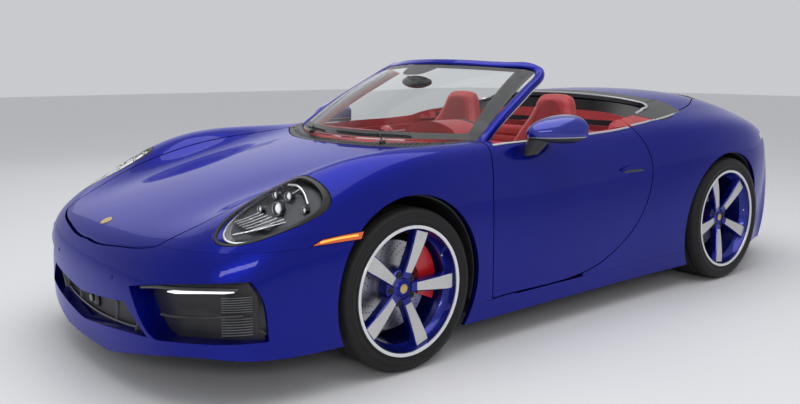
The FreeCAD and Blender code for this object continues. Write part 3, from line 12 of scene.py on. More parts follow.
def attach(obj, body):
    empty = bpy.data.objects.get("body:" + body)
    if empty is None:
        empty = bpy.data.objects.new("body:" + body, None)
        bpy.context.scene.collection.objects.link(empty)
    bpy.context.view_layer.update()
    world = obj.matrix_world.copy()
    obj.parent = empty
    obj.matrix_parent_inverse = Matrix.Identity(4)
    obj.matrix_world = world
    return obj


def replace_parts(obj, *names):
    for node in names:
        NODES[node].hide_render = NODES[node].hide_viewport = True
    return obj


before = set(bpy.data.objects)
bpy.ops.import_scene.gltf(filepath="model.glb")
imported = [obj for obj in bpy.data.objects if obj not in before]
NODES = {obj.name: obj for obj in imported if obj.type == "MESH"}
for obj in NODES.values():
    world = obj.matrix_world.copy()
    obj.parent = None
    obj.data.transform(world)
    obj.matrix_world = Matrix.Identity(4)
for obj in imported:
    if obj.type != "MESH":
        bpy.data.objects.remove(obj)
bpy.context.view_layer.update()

# %% [markdown]
# An open sports car is mostly one smooth painted skin, split by thin shut lines, with a few rich
# details set into it: lamps, wheels, a leather cabin and dark trim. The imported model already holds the
# skin at its real place, so its panels stay and only get a finish. Everything small is built here, in
# metres, in the same frame: nose towards -Y, the car's left side towards +X, floor at Z 0.
#
# The camera comes first. Its place was found from the wheels, arches and screen of the photograph; a
# small lens shift stands for the way the photograph was cropped.

# %% Camera
CAMERA_PLACE = Vector((3.358, -3.390, 1.257))
AZIMUTH, ELEVATION, ROLL = (math.radians(angle) for angle in (52.25, 6.46, -0.04))
SENSOR, LENS, SHIFT_X, SHIFT_Y = 36.0, 37.07, 0.0507, -0.0557

camera_data = bpy.data.cameras.new("photo_camera")
camera_data.sensor_width = SENSOR
camera_data.lens = LENS
camera_data.shift_x, camera_data.shift_y = SHIFT_X, SHIFT_Y
camera_data.clip_end = 60
camera = bpy.data.objects.new("photo_camera", camera_data)
bpy.context.collection.objects.link(camera)
back = Vector((math.sin(AZIMUTH) * math.cos(ELEVATION), -math.cos(AZIMUTH) * math.cos(ELEVATION),
               math.sin(ELEVATION)))
aim = back.to_track_quat("Z", "Y").to_matrix().to_4x4() @ Matrix.Rotation(ROLL, 4, "Z")
camera.matrix_world = Matrix.Translation(CAMERA_PLACE) @ aim
bpy.context.scene.camera = camera

# %% [markdown]
# A finish is a small network of shader nodes. Writing the sums as Python expressions keeps the recipe
# readable: the class below wraps a socket, and every operator adds the Math node that it stands for.
# All other nodes come from one method that takes the kind of node, its settings and its inputs.

# %% Finishes: a small language for shader nodes
class Wire:
    """A shader socket that can be added, multiplied and compared."""

    def __init__(self, finish, socket):
        self.finish, self.socket = finish, socket

    def sum(self, operation, *terms):
        return self.finish.node("ShaderNodeMath", {"operation": operation}, terms)

    def __add__(self, other):
        return self.sum("ADD", self, other)

    def __sub__(self, other):
        return self.sum("SUBTRACT", self, other)

    def __rsub__(self, other):
        return self.sum("SUBTRACT", other, self)

    def __mul__(self, other):
        return self.sum("MULTIPLY", self, other)

    def __pow__(self, other):
        return self.sum("POWER", self, other)

    def __gt__(self, other):
        return self.sum("GREATER_THAN", self, other)

    def __lt__(self, other):
        return self.sum("LESS_THAN", self, other)

    __radd__, __rmul__ = __add__, __mul__

    def abs(self):
        return self.sum("ABSOLUTE", self)

    def wave(self):
        """Up and down between 0 and a half, once for each whole step of the socket."""
        return self.sum("PINGPONG", self, 0.5)

    def smooth(self, low, high):
        """0 below low, 1 above high, eased between."""
        settings = {"interpolation_type": "SMOOTHSTEP"}
        return self.finish.node("ShaderNodeMapRange", settings, [self, low, high, 0.0, 1.0])


class Finish:
    """A material built round one Principled shader."""

    def __init__(self, name, color=(0.5, 0.5, 0.5), roughness=0.5, metallic=0.0, **constants):
        self.material = bpy.data.materials.new(name)
        self.material.use_nodes = True
        self.tree = self.material.node_tree
        self.shader = self.tree.nodes["Principled BSDF"]
        self.set("Base Color", color)
        self.set("Roughness", roughness)
        self.set("Metallic", metallic)
        for word, value in constants.items():
            self.set(word.replace("_", " ").title().replace("Ior", "IOR"), value)

    def set(self, name, value):
        self.plug(self.shader.inputs[name], value)
        return self

    def plug(self, socket, value):
        if isinstance(value, Wire):
            self.tree.links.new(value.socket, socket)
        elif socket.type == "RGBA":
            socket.default_value = (*value[:3], 1.0)
        else:
            socket.default_value = value

    def node(self, kind, settings, inputs, output=0):
        made = self.tree.nodes.new(kind)
        for word, value in settings.items():
            setattr(made, word, value)
        entries = inputs.items() if isinstance(inputs, dict) else enumerate(inputs)
        for key, value in entries:
            self.plug(made.inputs[key], value)
        return Wire(self, made.outputs[output])

    def place(self):
        return self.node("ShaderNodeTexCoord", {}, {}, "Object")

    def parts(self):
        """The three coordinates of the point, as wires."""
        split = self.tree.nodes.new("ShaderNodeSeparateXYZ")
        self.tree.links.new(self.place().socket, split.inputs[0])
        return [Wire(self, out) for out in split.outputs]

    def noise(self, scale, detail=2.0, roughness=0.5):
        inputs = {"Vector": self.place(), "Scale": scale, "Detail": detail, "Roughness": roughness}
        return self.node("ShaderNodeTexNoise", {}, inputs, 0)

    def cells(self, scale, feature="F1", output="Distance"):
        return self.node("ShaderNodeTexVoronoi", {"feature": feature}, {"Vector": self.place(), "Scale": scale},
                         output)

    def mix(self, share, first, second):
        return self.node("ShaderNodeMix", {"data_type": "RGBA"}, {0: share, 6: first, 7: second}, 2)

    def bump(self, height, distance, strength=1.0):
        inputs = {"Height": height, "Distance": distance, "Strength": strength}
        return self.set("Normal", self.node("ShaderNodeBump", {}, inputs))


# %% [markdown]
# The paint is a deep blue pearl under clear coat. Tiny metal flakes turn light back unevenly, so the
# base colour and roughness vary in specks well under a millimetre, and the clear coat above stays
# smooth with only the faint waviness that sprayed lacquer has. On the doors and quarters the finish
# changes to red leather at the belt line, where the panel turns down into the cabin.

# %% Paint
BLUE = (0.001, 0.003, 0.12)
BLUE_BRIGHT = (0.002, 0.010, 0.36)
METAL_SHARE, COAT_SHARE, LEATHER_ROUGH = 0.8, 0.65, 0.45


def inside_cabin(finish):
    """1 on the cabin side of the belt line, which draws in towards the tail, and 0 outside it."""
    px, py, pz = finish.parts()
    drawn_in = (py - 0.40) * (py > 0.40) * 0.05 + (py - 0.80) * (py > 0.80) * 0.15
    return (px.abs() + drawn_in < 0.785) * (py < 0.98) * (py > -0.62)


def paint(name, lining=None):
    """Pearl paint; with a lining colour, the side turned to the cabin is leather."""
    finish = Finish(name, metallic=METAL_SHARE, coat_weight=COAT_SHARE, coat_roughness=0.02, coat_ior=1.36,
                    specular_tint=(0.12, 0.2, 1.0))
    flakes = finish.cells(2600.0, output="Color")
    speck = finish.node("ShaderNodeSeparateColor", {}, [flakes])
    cloud = finish.noise(3.0, 3.0)
    color = finish.mix(speck * 0.55 + cloud * 0.35, BLUE, BLUE_BRIGHT)
    rough = speck * 0.16 + 0.26
    if lining:
        cabin = inside_cabin(finish)
        color = finish.mix(cabin, color, lining)
        rough = finish.mix(cabin, rough, (LEATHER_ROUGH,) * 3)
        finish.set("Metallic", METAL_SHARE - cabin * METAL_SHARE)
        finish.set("Coat Weight", COAT_SHARE - cabin * COAT_SHARE)
    finish.set("Base Color", color)
    finish.set("Roughness", rough)
    return finish.bump(finish.noise(190.0, 2.0), 0.00004, 0.35)


PAINT = paint("blue_paint")
LINED_PAINT = paint("blue_paint_red_inside", lining=(0.36, 0.017, 0.021))

# %% [markdown]
# Plastics, leather and metals follow. Each has the grain that its real counterpart shows at arm's
# length: a fine moulded texture on plastic, pores and creases in leather, brushing on steel.

# %% Plastics and metals
def grained(name, color, roughness, scale, depth, **constants):
    """A moulded or cast surface: fine grain, and soft blotches a little paler than the colour."""
    finish = Finish(name, color=color, roughness=roughness, **constants)
    grain = finish.cells(scale, "SMOOTH_F1")
    blotch = finish.noise(14.0, 4.0)
    paler = tuple(min(1.0, part * 1.5 + 0.004) for part in color)
    finish.set("Base Color", finish.mix(blotch.smooth(0.35, 0.75), color, paler))
    finish.set("Roughness", blotch * 0.12 + (roughness - 0.06))
    return finish.bump(grain, depth)


BLACK_PLASTIC = grained("black_plastic", (0.012, 0.012, 0.013), 0.45, 900.0, 0.00012)
GREY_PLASTIC = grained("grey_plastic", (0.075, 0.077, 0.08), 0.38, 700.0, 0.00008)
BLACK_GLOSS = grained("black_gloss", (0.006, 0.006, 0.007), 0.12, 300.0, 0.00001, coat_weight=0.6)
GLASS_BLACK = grained("glass_border", (0.008, 0.008, 0.009), 0.4, 300.0, 0.00001)
DARK_STEEL = grained("dark_steel", (0.03, 0.031, 0.034), 0.5, 240.0, 0.0001, metallic=0.6)
TOP_CLOTH = grained("top_cloth", (0.013, 0.014, 0.017), 0.8, 1500.0, 0.0003, sheen_weight=0.25)
ENGINE_METAL = grained("engine_metal", (0.2, 0.2, 0.21), 0.5, 200.0, 0.0003, metallic=0.8)


def metal(name, color, roughness, scale=60.0):
    """Bare metal with smears of slightly different polish."""
    finish = Finish(name, color=color, roughness=roughness, metallic=1.0)
    smear = finish.noise(scale, 3.0, 0.5)
    finish.set("Roughness", smear * 0.12 + (roughness - 0.05))
    darker = tuple(part * 0.93 for part in color)
    finish.set("Base Color", finish.mix(smear.smooth(0.2, 0.8), darker, color))
    return finish


SILVER = metal("machined_silver", (0.62, 0.62, 0.61), 0.3, 30.0)
ALUMINIUM = metal("satin_aluminium", (0.66, 0.67, 0.69), 0.32, 120.0)
BRAKE_STEEL = metal("brake_steel", (0.46, 0.46, 0.47), 0.36, 200.0)
EXHAUST_STEEL = metal("exhaust_steel", (0.55, 0.55, 0.56), 0.22, 60.0)
LAMP_SILVER = metal("lamp_reflector", (0.055, 0.057, 0.06), 0.34, 160.0)
LAMP_BRIGHT = metal("lamp_bright_parts", (0.60, 0.61, 0.62), 0.25, 60.0)
BRASS = metal("plain_medallion", (0.62, 0.47, 0.16), 0.3, 120.0)
MIRROR_GLASS = metal("mirror_glass", (0.80, 0.82, 0.84), 0.1, 8.0)

# %% [markdown]
# Leather is one recipe in three colours: fine pores, a net of creases and patches worn paler.

# %% Leather
def leather(name, color, deep):
    finish = Finish(name, roughness=0.48, sheen_weight=0.08)
    pores = finish.cells(620.0, "SMOOTH_F1")
    creases = finish.cells(170.0, "DISTANCE_TO_EDGE")
    wear = finish.noise(9.0, 4.0, 0.6)
    finish.set("Base Color", finish.mix(wear.smooth(0.3, 0.72), deep, color))
    finish.set("Roughness", wear * 0.2 + 0.34)
    height = pores * 0.6 + creases.smooth(0.0, 0.09) * 0.5
    return finish.bump(height, 0.00035, 0.7)


RED_LEATHER = leather("red_leather", (0.42, 0.022, 0.026), (0.30, 0.012, 0.016))
DEEP_LEATHER = leather("deep_red_leather", (0.27, 0.012, 0.016), (0.20, 0.008, 0.011))
DARK_LEATHER = leather("dark_leather", (0.022, 0.016, 0.016), (0.014, 0.010, 0.010))

# %% [markdown]
# Clear parts let light through with hardly any bending, as thin shells do. Lit parts glow a little
# beside their own colour, so they read as switched on without lighting the studio.

# %% Glass, lenses and lights
def glowing(name, color, strength, **constants):
    finish = Finish(name, color=color, roughness=0.15, **constants)
    finish.set("Emission Color", color)
    finish.set("Emission Strength", strength)
    return finish


GLASS = Finish("clear_glass", color=(0.93, 0.96, 0.955), roughness=0.01, transmission_weight=1.0, ior=1.08)
LENS = Finish("lamp_lens", color=(0.97, 0.98, 1.0), roughness=0.01, transmission_weight=1.0, ior=1.08)
TAIL_LENS = Finish("tail_lens", color=(0.30, 0.004, 0.004), roughness=0.08, coat_weight=1.0)
AMBER = glowing("amber_lens", (0.62, 0.10, 0.008), 0.12, coat_weight=1.0)
AMBER_GLOW = glowing("amber_strip", (1.0, 0.42, 0.05), 0.7, coat_weight=1.0)
WHITE_GLOW = glowing("white_light", (0.93, 0.94, 1.0), 0.8)
LAMP_GLOW = glowing("module_light", (0.90, 0.93, 0.98), 0.55, coat_weight=1.0)
RED_GLOW = glowing("red_light", (0.62, 0.008, 0.006), 0.25, coat_weight=1.0)
PLATE_WHITE = Finish("blank_plate", roughness=0.4)
PLATE_WHITE.set("Base Color", PLATE_WHITE.mix(PLATE_WHITE.noise(240.0), (0.62, 0.62, 0.61), (0.70, 0.70, 0.69)))

# %% [markdown]
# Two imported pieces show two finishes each. The mirror shell is painted above and black below, with a
# thin pale line between; the knuckle carries a red caliper on dark cast metal. The place of the point
# tells the two apart, so neither piece has to be cut.

# %% Finishes split by place
def split_by_height(name, height, low, high, line):
    finish = Finish(name, metallic=0.5, coat_weight=0.9, coat_roughness=0.03)
    pz = finish.parts()[2]
    above = pz > height
    near = (pz - height).abs() < 0.0016
    color = finish.mix(above, low, high)
    finish.set("Base Color", finish.mix(near, color, line))
    finish.set("Roughness", 0.42 - above * 0.12)
    finish.set("Coat Weight", above * 0.85 + 0.1)
    finish.set("Metallic", above * 0.55)
    return finish


def carrier(name, x, y, z, reach=0.122, caliper_top=0.235):
    """Red on the caliper, which lies between two radii about the axle; dark cast metal inside it."""
    finish = Finish(name, roughness=0.35, coat_weight=0.5)
    px, py, pz = finish.parts()
    dy, dz = py - y, pz - z
    radius = (dy * dy + dz * dz) ** 0.5
    outer = (radius > reach) * (radius < caliper_top) * (px.abs() > x - 0.09)
    blotch = finish.noise(20.0, 3.0)
    finish.set("Base Color", finish.mix(outer, (0.035, 0.036, 0.038), (0.60, 0.008, 0.010)))
    finish.set("Roughness", blotch * 0.2 + 0.25)
    return finish.bump(finish.noise(300.0, 2.0), 0.00008)


MIRROR_SHELL = split_by_height("mirror_shell", 0.921, (0.010, 0.010, 0.011), (0.004, 0.010, 0.27),
                               (0.45, 0.46, 0.47))
FRONT_CARRIER = carrier("front_carrier", 0.788, -1.2245, 0.33975)
REAR_CARRIER = carrier("rear_carrier", 0.768, 1.2255, 0.3582)

# %% [markdown]
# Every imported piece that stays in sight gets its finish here; what is not named is painted body.

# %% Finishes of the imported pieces
PACKED = (
    (BLACK_PLASTIC, "front_intakes wiper_cowl deck_strip luggage_tub wheel_houses"),
    (BLACK_GLOSS, "interior_mirror lamp_housings"), (TOP_CLOTH, "cover_band"), (LENS, "front_lamps"),
    (TAIL_LENS, "tail_lamp"), (GLASS, "windscreen_glass"), (DARK_STEEL, "floor_pan bulkheads end_frames"),
    (REAR_CARRIER, "suspension"), (FRONT_CARRIER, "left_front_knuckle right_front_knuckle"),
    (ENGINE_METAL, "engine_block"), (EXHAUST_STEEL, "exhaust"), (DARK_LEATHER, "steering_wheel"),
    (RED_LEATHER, "dashboard centre_console front_seats rear_seats rear_side_trims"),
    (RED_LEATHER, "left_door_trim right_door_trim"), (LINED_PAINT, "left_door right_door rear_quarters"),
    (MIRROR_SHELL, "left_door_mirror right_door_mirror"),
)
FINISH_OF = {name: finish for finish, names in PACKED for name in names.split()}
for name, node in NODES.items():
    finish = BRAKE_STEEL if name.endswith("brake_disc") else FINISH_OF.get(name, PAINT)
    slots = node.data.materials
    for place in range(len(slots)):
        slots[place] = finish.material
    if not slots:
        slots.append(finish.material)
print("finishes given:", len(bpy.data.materials))

# %% [markdown]
# Every small piece is drawn as a form: a list of points and faces to which rings, turned profiles and
# bars laid on the skin are added. Drawing in one way keeps all pieces closed, so their normals can be
# worked out by Blender, and lets one side be mirrored to the other in a single call.

# %% Lines and places
FRONT_AXLE, REAR_AXLE = -1224.5, 1225.5
# real and drawn size of the front overhang, the rear overhang and half the width
FRONT_REAL, FRONT_DRAWN, REAR_REAL, REAR_DRAWN, HALF_REAL, HALF_DRAWN = 1035, 1049, 1034, 1044.8, 926, 934.5
FORWARD, BACKWARD = Vector((0, 1, 0)), Vector((0, -1, 0))
DOWN, INWARD, OUTWARD = Vector((0, 0, -1)), Vector((-1, 0, 0)), Vector((1, 0, 0))


def at(x, y, z):
    """A point drawn in millimetres, stretched as the body's lines are, in metres."""
    if y < FRONT_AXLE:
        y = FRONT_AXLE + (y - FRONT_AXLE) * FRONT_REAL / FRONT_DRAWN
    elif y > REAR_AXLE:
        y = REAR_AXLE + (y - REAR_AXLE) * REAR_REAL / REAR_DRAWN
    return Vector((x * HALF_REAL / HALF_DRAWN, y, z)) / 1000


def run(*points):
    return [at(*point) for point in points]


def turns(count):
    """Angles spaced evenly round a full turn."""
    return np.linspace(0, math.tau, count, endpoint=False)


def mirror(points):
    """The points on the other side of the car."""
    return [Vector((-point.x, point.y, point.z)) for point in points]


def tree_of(*names):
    """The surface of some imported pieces, to lay things on."""
    points, faces = [], []
    for name in names:
        mesh, start = NODES[name].data, len(points)
        points += [vertex.co.copy() for vertex in mesh.vertices]
        faces += [tuple(start + index for index in face.vertices) for face in mesh.polygons]
    return BVHTree.FromPolygons(points, faces)


SKIN = tree_of("front_bumper", "front_fenders", "front_lid", "left_door", "rear_quarters", "rear_bumper",
               "side_sills", "engine_lid", "top_cover", "cover_band", "deck_strip", "front_lamps",
               "tail_lamp", "wiper_cowl", "rear_side_trims")
GLASS_SHAPE = tree_of("windscreen_glass")


def eased(a, b, c, d, t):
    """A smooth curve's value between b and c."""
    return 0.5 * (2 * b + (c - a) * t + (2 * a - 5 * b + 4 * c - d) * t * t
                  + (3 * b - a - 3 * c + d) * t ** 3)


def smooth_line(points, count):
    """Points spaced evenly along a smooth curve through the given ones."""
    line = [Vector(point) for point in points]
    line = [line[0] * 2 - line[1]] + line + [line[-1] * 2 - line[-2]]
    fine = [eased(*line[first:first + 4], step / 16) for first in range(len(line) - 3) for step in range(16)]
    fine.append(line[-2])
    lengths = [0.0]
    for one, two in zip(fine, fine[1:]):
        lengths.append(lengths[-1] + (two - one).length)
    wanted = np.linspace(0, lengths[-1], count)
    columns = [np.interp(wanted, lengths, [point[axis] for point in fine]) for axis in range(3)]
    return [Vector(values) for values in zip(*columns)]


def laid(points, toward, tree, reach=0.3):
    """The points carried along a direction onto a surface, with the surface's normals."""
    result = []
    for point in points:
        spot, normal, face, gap = tree.ray_cast(point - toward * reach, toward, reach * 2)
        if spot is None:
            spot, normal = point, result[-1][1] if result else -toward
        result.append((spot, -normal if normal.dot(toward) > 0 else normal))
    return result


def raised(spots, height):
    """Laid points lifted off their surface."""
    return [spot + normal * height for spot, normal in spots]


def set_back(points, gap):
    return [point + FORWARD * gap for point in points]


def curve(count, *points):
    """A smooth line through points drawn in millimetres."""
    return smooth_line(run(*points), count)


def both_sides(line):
    """A line that ends in the middle of the car, carried on to the other side."""
    return line + mirror(line[-2::-1])


# %% [markdown]
# A form gathers rings, turned profiles, bars, tubes, blocks and fitted sheets. Then it becomes a piece:
# a mesh with its finish that rides on one body of the car.

# %% Forms
PIECES = []


def own(name, mesh, body="body"):
    """An object for a finished mesh, riding on its body."""
    item = bpy.data.objects.new(name, mesh)
    bpy.context.collection.objects.link(item)
    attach(item, body)
    PIECES.append(item)
    return item


def round_ring(centre, side, over, radius, steps):
    return [centre + (side * math.cos(turn) + over * math.sin(turn)) * radius for turn in turns(steps)]


def within(u, v, outline, margin):
    """Whether a flat point lies inside an outline, further than the margin from its edge."""
    spot, inside, nearest = Vector((u, v)), False, math.inf
    for a, b in zip(outline, outline[1:] + outline[:1]):
        if (a.y > v) != (b.y > v) and u < (b.x - a.x) * (v - a.y) / (b.y - a.y) + a.x:
            inside = not inside
        share = max(0, min(1, (spot - a).dot(b - a) / max((b - a).length_squared, 1e-12)))
        nearest = min(nearest, ((b - a) * share + a - spot).length)
    return inside and nearest > margin


class Form:
    """Points and faces of one piece while it is being drawn."""

    def __init__(self):
        self.points, self.faces = [], []

    def add(self, points, faces):
        start = len(self.points)
        self.points += [Vector(point) for point in points]
        self.faces += [tuple(start + index for index in face) for face in faces]
        return self

    def rings(self, rings, closed=False):
        """A skin over rings of equal count, with flat ends or joined end to end."""
        count, rows = len(rings[0]), len(rings)
        faces = []
        for row in range(rows if closed else rows - 1):
            a, b = row * count, (row + 1) % rows * count
            faces += [(a + i, a + (i + 1) % count, b + (i + 1) % count, b + i) for i in range(count)]
        if not closed:
            faces += [tuple(range(count))[::-1], tuple(range((rows - 1) * count, rows * count))]
        return self.add([point for ring in rings for point in ring], faces)

    def turned(self, profile, centre, axis, steps=48, closed=False):
        """A profile of (distance along the axis, radius) spun about the axis."""
        axis = Vector(axis).normalized()
        side = Vector((0, 0, 1)) if abs(axis.x) > 0.9 else axis.orthogonal().normalized()
        other = axis.cross(side).normalized()
        side = other.cross(axis)
        return self.rings([round_ring(Vector(centre) + axis * along, side, other, max(radius, 1e-5), steps)
                           for along, radius in profile], closed)

    def strip(self, line, width, height, toward, tree=None, sink=0.002, taper=False):
        """A low bar with round shoulders, laid along a line on a surface."""
        spots = laid(line, toward, tree or SKIN)
        rings = []
        for index, (spot, normal) in enumerate(spots):
            ahead = spots[min(index + 1, len(spots) - 1)][0] - spots[max(index - 1, 0)][0]
            across = ahead.cross(normal).normalized()
            share = math.sin(math.pi * (index + 0.5) / len(spots)) ** 0.5 if taper else 1.0
            half = width / 2 * share
            rings.append([spot + across * half * a + normal * (b if b < 0 else b * height)
                          for a, b in ((-1, -sink), (-1, 0.5), (-0.8, 0.9), (0, 1), (0.8, 0.9), (1, 0.5),
                                       (1, -sink))])
        return self.rings(rings)

    def tube(self, line, radius, steps=10):
        """A round bar along a line, of one radius or of one for each point."""
        rings = []
        for index, spot in enumerate(line):
            ahead = (line[min(index + 1, len(line) - 1)] - line[max(index - 1, 0)]).normalized()
            side = ahead.cross(Vector((0, 0, 1)))
            side = side.normalized() if side.length > 1e-3 else Vector((1, 0, 0))
            size = radius[index] if isinstance(radius, (list, tuple)) else radius
            rings.append(round_ring(spot, side, side.cross(ahead), size, steps))
        return self.rings(rings)

    def block(self, low, high, soft=0.0):
        """A box with its edges cut off."""
        (x0, y0, z0), (x1, y1, z1) = low, high
        rings = []
        for y, inset in ((y0, soft), (y0 + soft, 0), (y1 - soft, 0), (y1, soft)):
            x2, x3, z2, z3 = x0 + inset, x1 - inset, z0 + inset, z1 - inset
            rings.append([Vector(p) for p in ((x2 + soft, y, z2), (x3 - soft, y, z2), (x3, y, z2 + soft),
                                              (x3, y, z3 - soft), (x3 - soft, y, z3), (x2 + soft, y, z3),
                                              (x2, y, z3 - soft), (x2, y, z2 + soft))])
        return self.rings(rings)

    def sheet(self, outline, toward, proud, deep, tree=None, step=0.012):
        """A patch of even thickness that follows the surface inside an outline."""
        first = 0 if abs(toward.x) < 0.5 else 1
        second = 2 if abs(toward.z) < 0.5 else 1
        edge = []
        for a, b in zip(outline, outline[1:] + outline[:1]):
            count = max(1, int((b - a).length / step))
            edge += [a.lerp(b, index / count) for index in range(count)]
        flat = [Vector((point[first], point[second])) for point in edge]
        (left, low), (right, high) = ([pick(point[axis] for point in flat) for axis in (0, 1)]
                                      for pick in (min, max))
        inner = [Vector((u, v)) for u in np.arange(left + step / 2, right, step)
                 for v in np.arange(low + step / 2, high, step) if within(u, v, flat, step * 0.45)]
        count = len(flat)
        cut = delaunay_2d_cdt(flat + inner, [(i, (i + 1) % count) for i in range(count)], [], 1, 1e-7)
        middle = sum((Vector(point) for point in edge), Vector()) / count
        points = []
        for spot in cut[0]:
            point = middle.copy()
            point[first], point[second] = spot
            points.append(point)
        spots = laid(points, toward, tree or SKIN, 0.35)
        size, uses = len(spots), {}
        for face in cut[2]:
            for side in zip(face, face[1:] + face[:1]):
                uses[frozenset(side)] = uses.get(frozenset(side), 0) + 1
        faces = [tuple(face) for face in cut[2]] + [tuple(size + i for i in face[::-1]) for face in cut[2]]
        faces += [(a, b, size + b, size + a) for a, b in (tuple(side) for side, n in uses.items() if n == 1)]
        return self.add(raised(spots, proud) + raised(spots, -deep), faces)

    def mirrored(self):
        """The form with its mirror image across the car added."""
        return self.add(mirror(self.points), [face[::-1] for face in self.faces])

    def across(self):
        """Only the mirror image, for the car's right side."""
        return Form().add(mirror(self.points), [face[::-1] for face in self.faces])

    def piece(self, name, finish, body="body", slot="black_trim", angle=38):
        """The form as a clean mesh; edges sharper than the angle stay sharp."""
        mesh = bpy.data.meshes.new(name)
        mesh.from_pydata([tuple(point) for point in self.points], [], self.faces)
        work = bmesh.new()
        work.from_mesh(mesh)
        bmesh.ops.remove_doubles(work, verts=work.verts, dist=2e-6)
        bmesh.ops.dissolve_degenerate(work, edges=work.edges, dist=1e-6)
        bmesh.ops.recalc_face_normals(work, faces=work.faces)
        work.to_mesh(mesh)
        work.free()
        mesh.materials.append(finish.material)
        mesh.shade_smooth()
        mesh.set_sharp_from_angle(angle=math.radians(angle))
        return own(name, mesh, body)

    def cover(self, name, finish=None, angle=80):
        """A piece of leather on the body."""
        return self.piece(name, finish or RED_LEATHER, slot="red_leather", angle=angle)

    def on_doors(self, name, finish, slot="black_trim"):
        """The form on the left door and its mirror image on the right one."""
        self.piece("left_" + name, finish, "left_door", slot)
        self.across().piece("right_" + name, finish, "right_door", slot)


# %% [markdown]
# The wheels carry most of the car's character: five flat spokes whose faces are machined bright while
# their sides and the barrel stay body blue, a thin bright lip, five sunk bolts and a plain cap. The
# packed rim holds the space, and a finer rim made of rings stands for it. The tyre's section is drawn
# with its ribs and grooves and spun, which is how a tyre's shape really comes about.

# %% Wheel places
FRONT_WHEEL, REAR_WHEEL = (788, FRONT_AXLE, 339.75, 245, 271.5), (768, REAR_AXLE, 358.2, 305, 284)
CORNERS = {  # x, y, z, width, rim radius, side
    "left_front": (*FRONT_WHEEL, 1), "right_front": (*FRONT_WHEEL, -1),
    "left_rear": (*REAR_WHEEL, 1), "right_rear": (*REAR_WHEEL, -1),
}
FRONT_TURN, REAR_TURN = 17.6, 44
SPOKES, SPOKE_STEP = 5, 72


def spoke_turn(corner):
    return FRONT_TURN if "front" in corner else REAR_TURN


def wheel_point(corner, out, radius, turn):
    """A point of a wheel: distance outwards, radius and turn from the top towards the rear, in mm."""
    x, y, z, width, rim, side = CORNERS[corner]
    angle = math.radians(turn)
    return Vector((side * (x + out), y + radius * math.sin(angle), z + radius * math.cos(angle))) / 1000


def wheel_rings(corner, profile, steps):
    """Rings about the axle for a profile of (distance outwards, radius)."""
    return [[wheel_point(corner, out, radius, turn) for turn in np.linspace(0, 360, steps, endpoint=False)]
            for out, radius in profile]


def spoke_row(corner, radius, middle, section):
    """A row of points across a spoke, for a section of (distance aside, distance outwards)."""
    return [wheel_point(corner, out, math.hypot(radius, aside), middle + math.degrees(math.atan2(aside, radius)))
            for aside, out in section]


def hub_form(corner, profile, steps):
    """A turned profile set in the middle of the wheel's face."""
    width, form = CORNERS[corner][3], Form().turned(profile, (0, 0, 0), (1, 0, 0), steps)
    form.points = [wheel_point(corner, width / 2 - 64 + p.x, math.hypot(p.y, p.z),
                               math.degrees(math.atan2(p.y, p.z))) for p in form.points]
    return form


def wheel_wires(finish, corner):
    """The point's distance out from the wheel's middle, its heights about the axle and its radius."""
    x, y, z, width, rim, side = CORNERS[corner]
    px, py, pz = finish.parts()
    dy, dz = py - y / 1000, pz - z / 1000
    return px * side - x / 1000, dy, dz, (dy * dy + dz * dz) ** 0.5


# %% [markdown]
# Rubber first. Fine sipes lean across the tread between the main grooves, and the side wall carries
# faint rings; both are too fine to model, so they are bump. The sipes are also painted dark as shade in
# the cuts, against a paler tread face.

# %% Tyres
def tyre_rubber(corner):
    rubber = Finish(corner + "_tyre_rubber", color=(0.016, 0.016, 0.017), roughness=0.6, specular_ior_level=0.3)
    out, dy, dz, radius = wheel_wires(rubber, corner)
    turn = rubber.node("ShaderNodeMath", {"operation": "ARCTAN2"}, [dy, dz])
    cut = (turn * 36.0 + out.abs() * 95.0).wave().smooth(0.02, 0.09)
    on_tread = radius > (CORNERS[corner][2] - 12) / 1000
    wall_rings = (radius * 420.0).wave()
    grain = rubber.noise(900.0, 2.0)
    rubber.bump(cut * on_tread + wall_rings * (1 - on_tread) * 0.05 + grain * 0.03, 0.004, 0.8)
    rubber.set("Roughness", grain * 0.16 + on_tread * 0.12 + 0.44)
    # The cuts and the side wall take the darker rubber; in the cuts this dark is painted shade.
    return rubber.set("Base Color", rubber.mix(cut * on_tread, (0.006, 0.006, 0.0065), (0.013, 0.013, 0.0135)))


def tyre_profile(width, radius, rim):
    """The closed section: bead, side wall with its ribs, shoulder, and a tread with four grooves."""
    half = width / 2
    outer = [(half - 14, rim - 17), (half - 12, rim + 2), (half - 3, rim + 4), (half - 2.5, rim + 9),
             (half - 5, rim + 11), (half - 2, rim + 20), (half, rim + 32), (half - 1.2, rim + 33),
             (half - 1.2, rim + 35), (half - 0.3, rim + 36), (half - 2.5, radius - 26), (half - 4, radius - 24.5),
             (half - 4.2, radius - 20), (half - 9, radius - 11), (half - 16, radius - 5.5),
             (half - 24, radius - 2.6)]
    tread = [(half - 40, radius)]
    for groove in (0.62, 0.22, -0.22, -0.62):
        middle = groove * half
        tread += [(middle + 5.5, radius - 0.6), (middle + 4.5, radius - 7.5), (middle - 4.5, radius - 7.5),
                  (middle - 5.5, radius - 0.6)]
    tread += [(-(half - 40), radius)]
    return outer + tread + [(-u, r) for u, r in reversed(outer)]


# %% [markdown]
# The rim is forged in one piece and turned bright where a tool can reach: the lip and the spoke faces.
# A cast rim would need thicker spokes than the photograph shows.

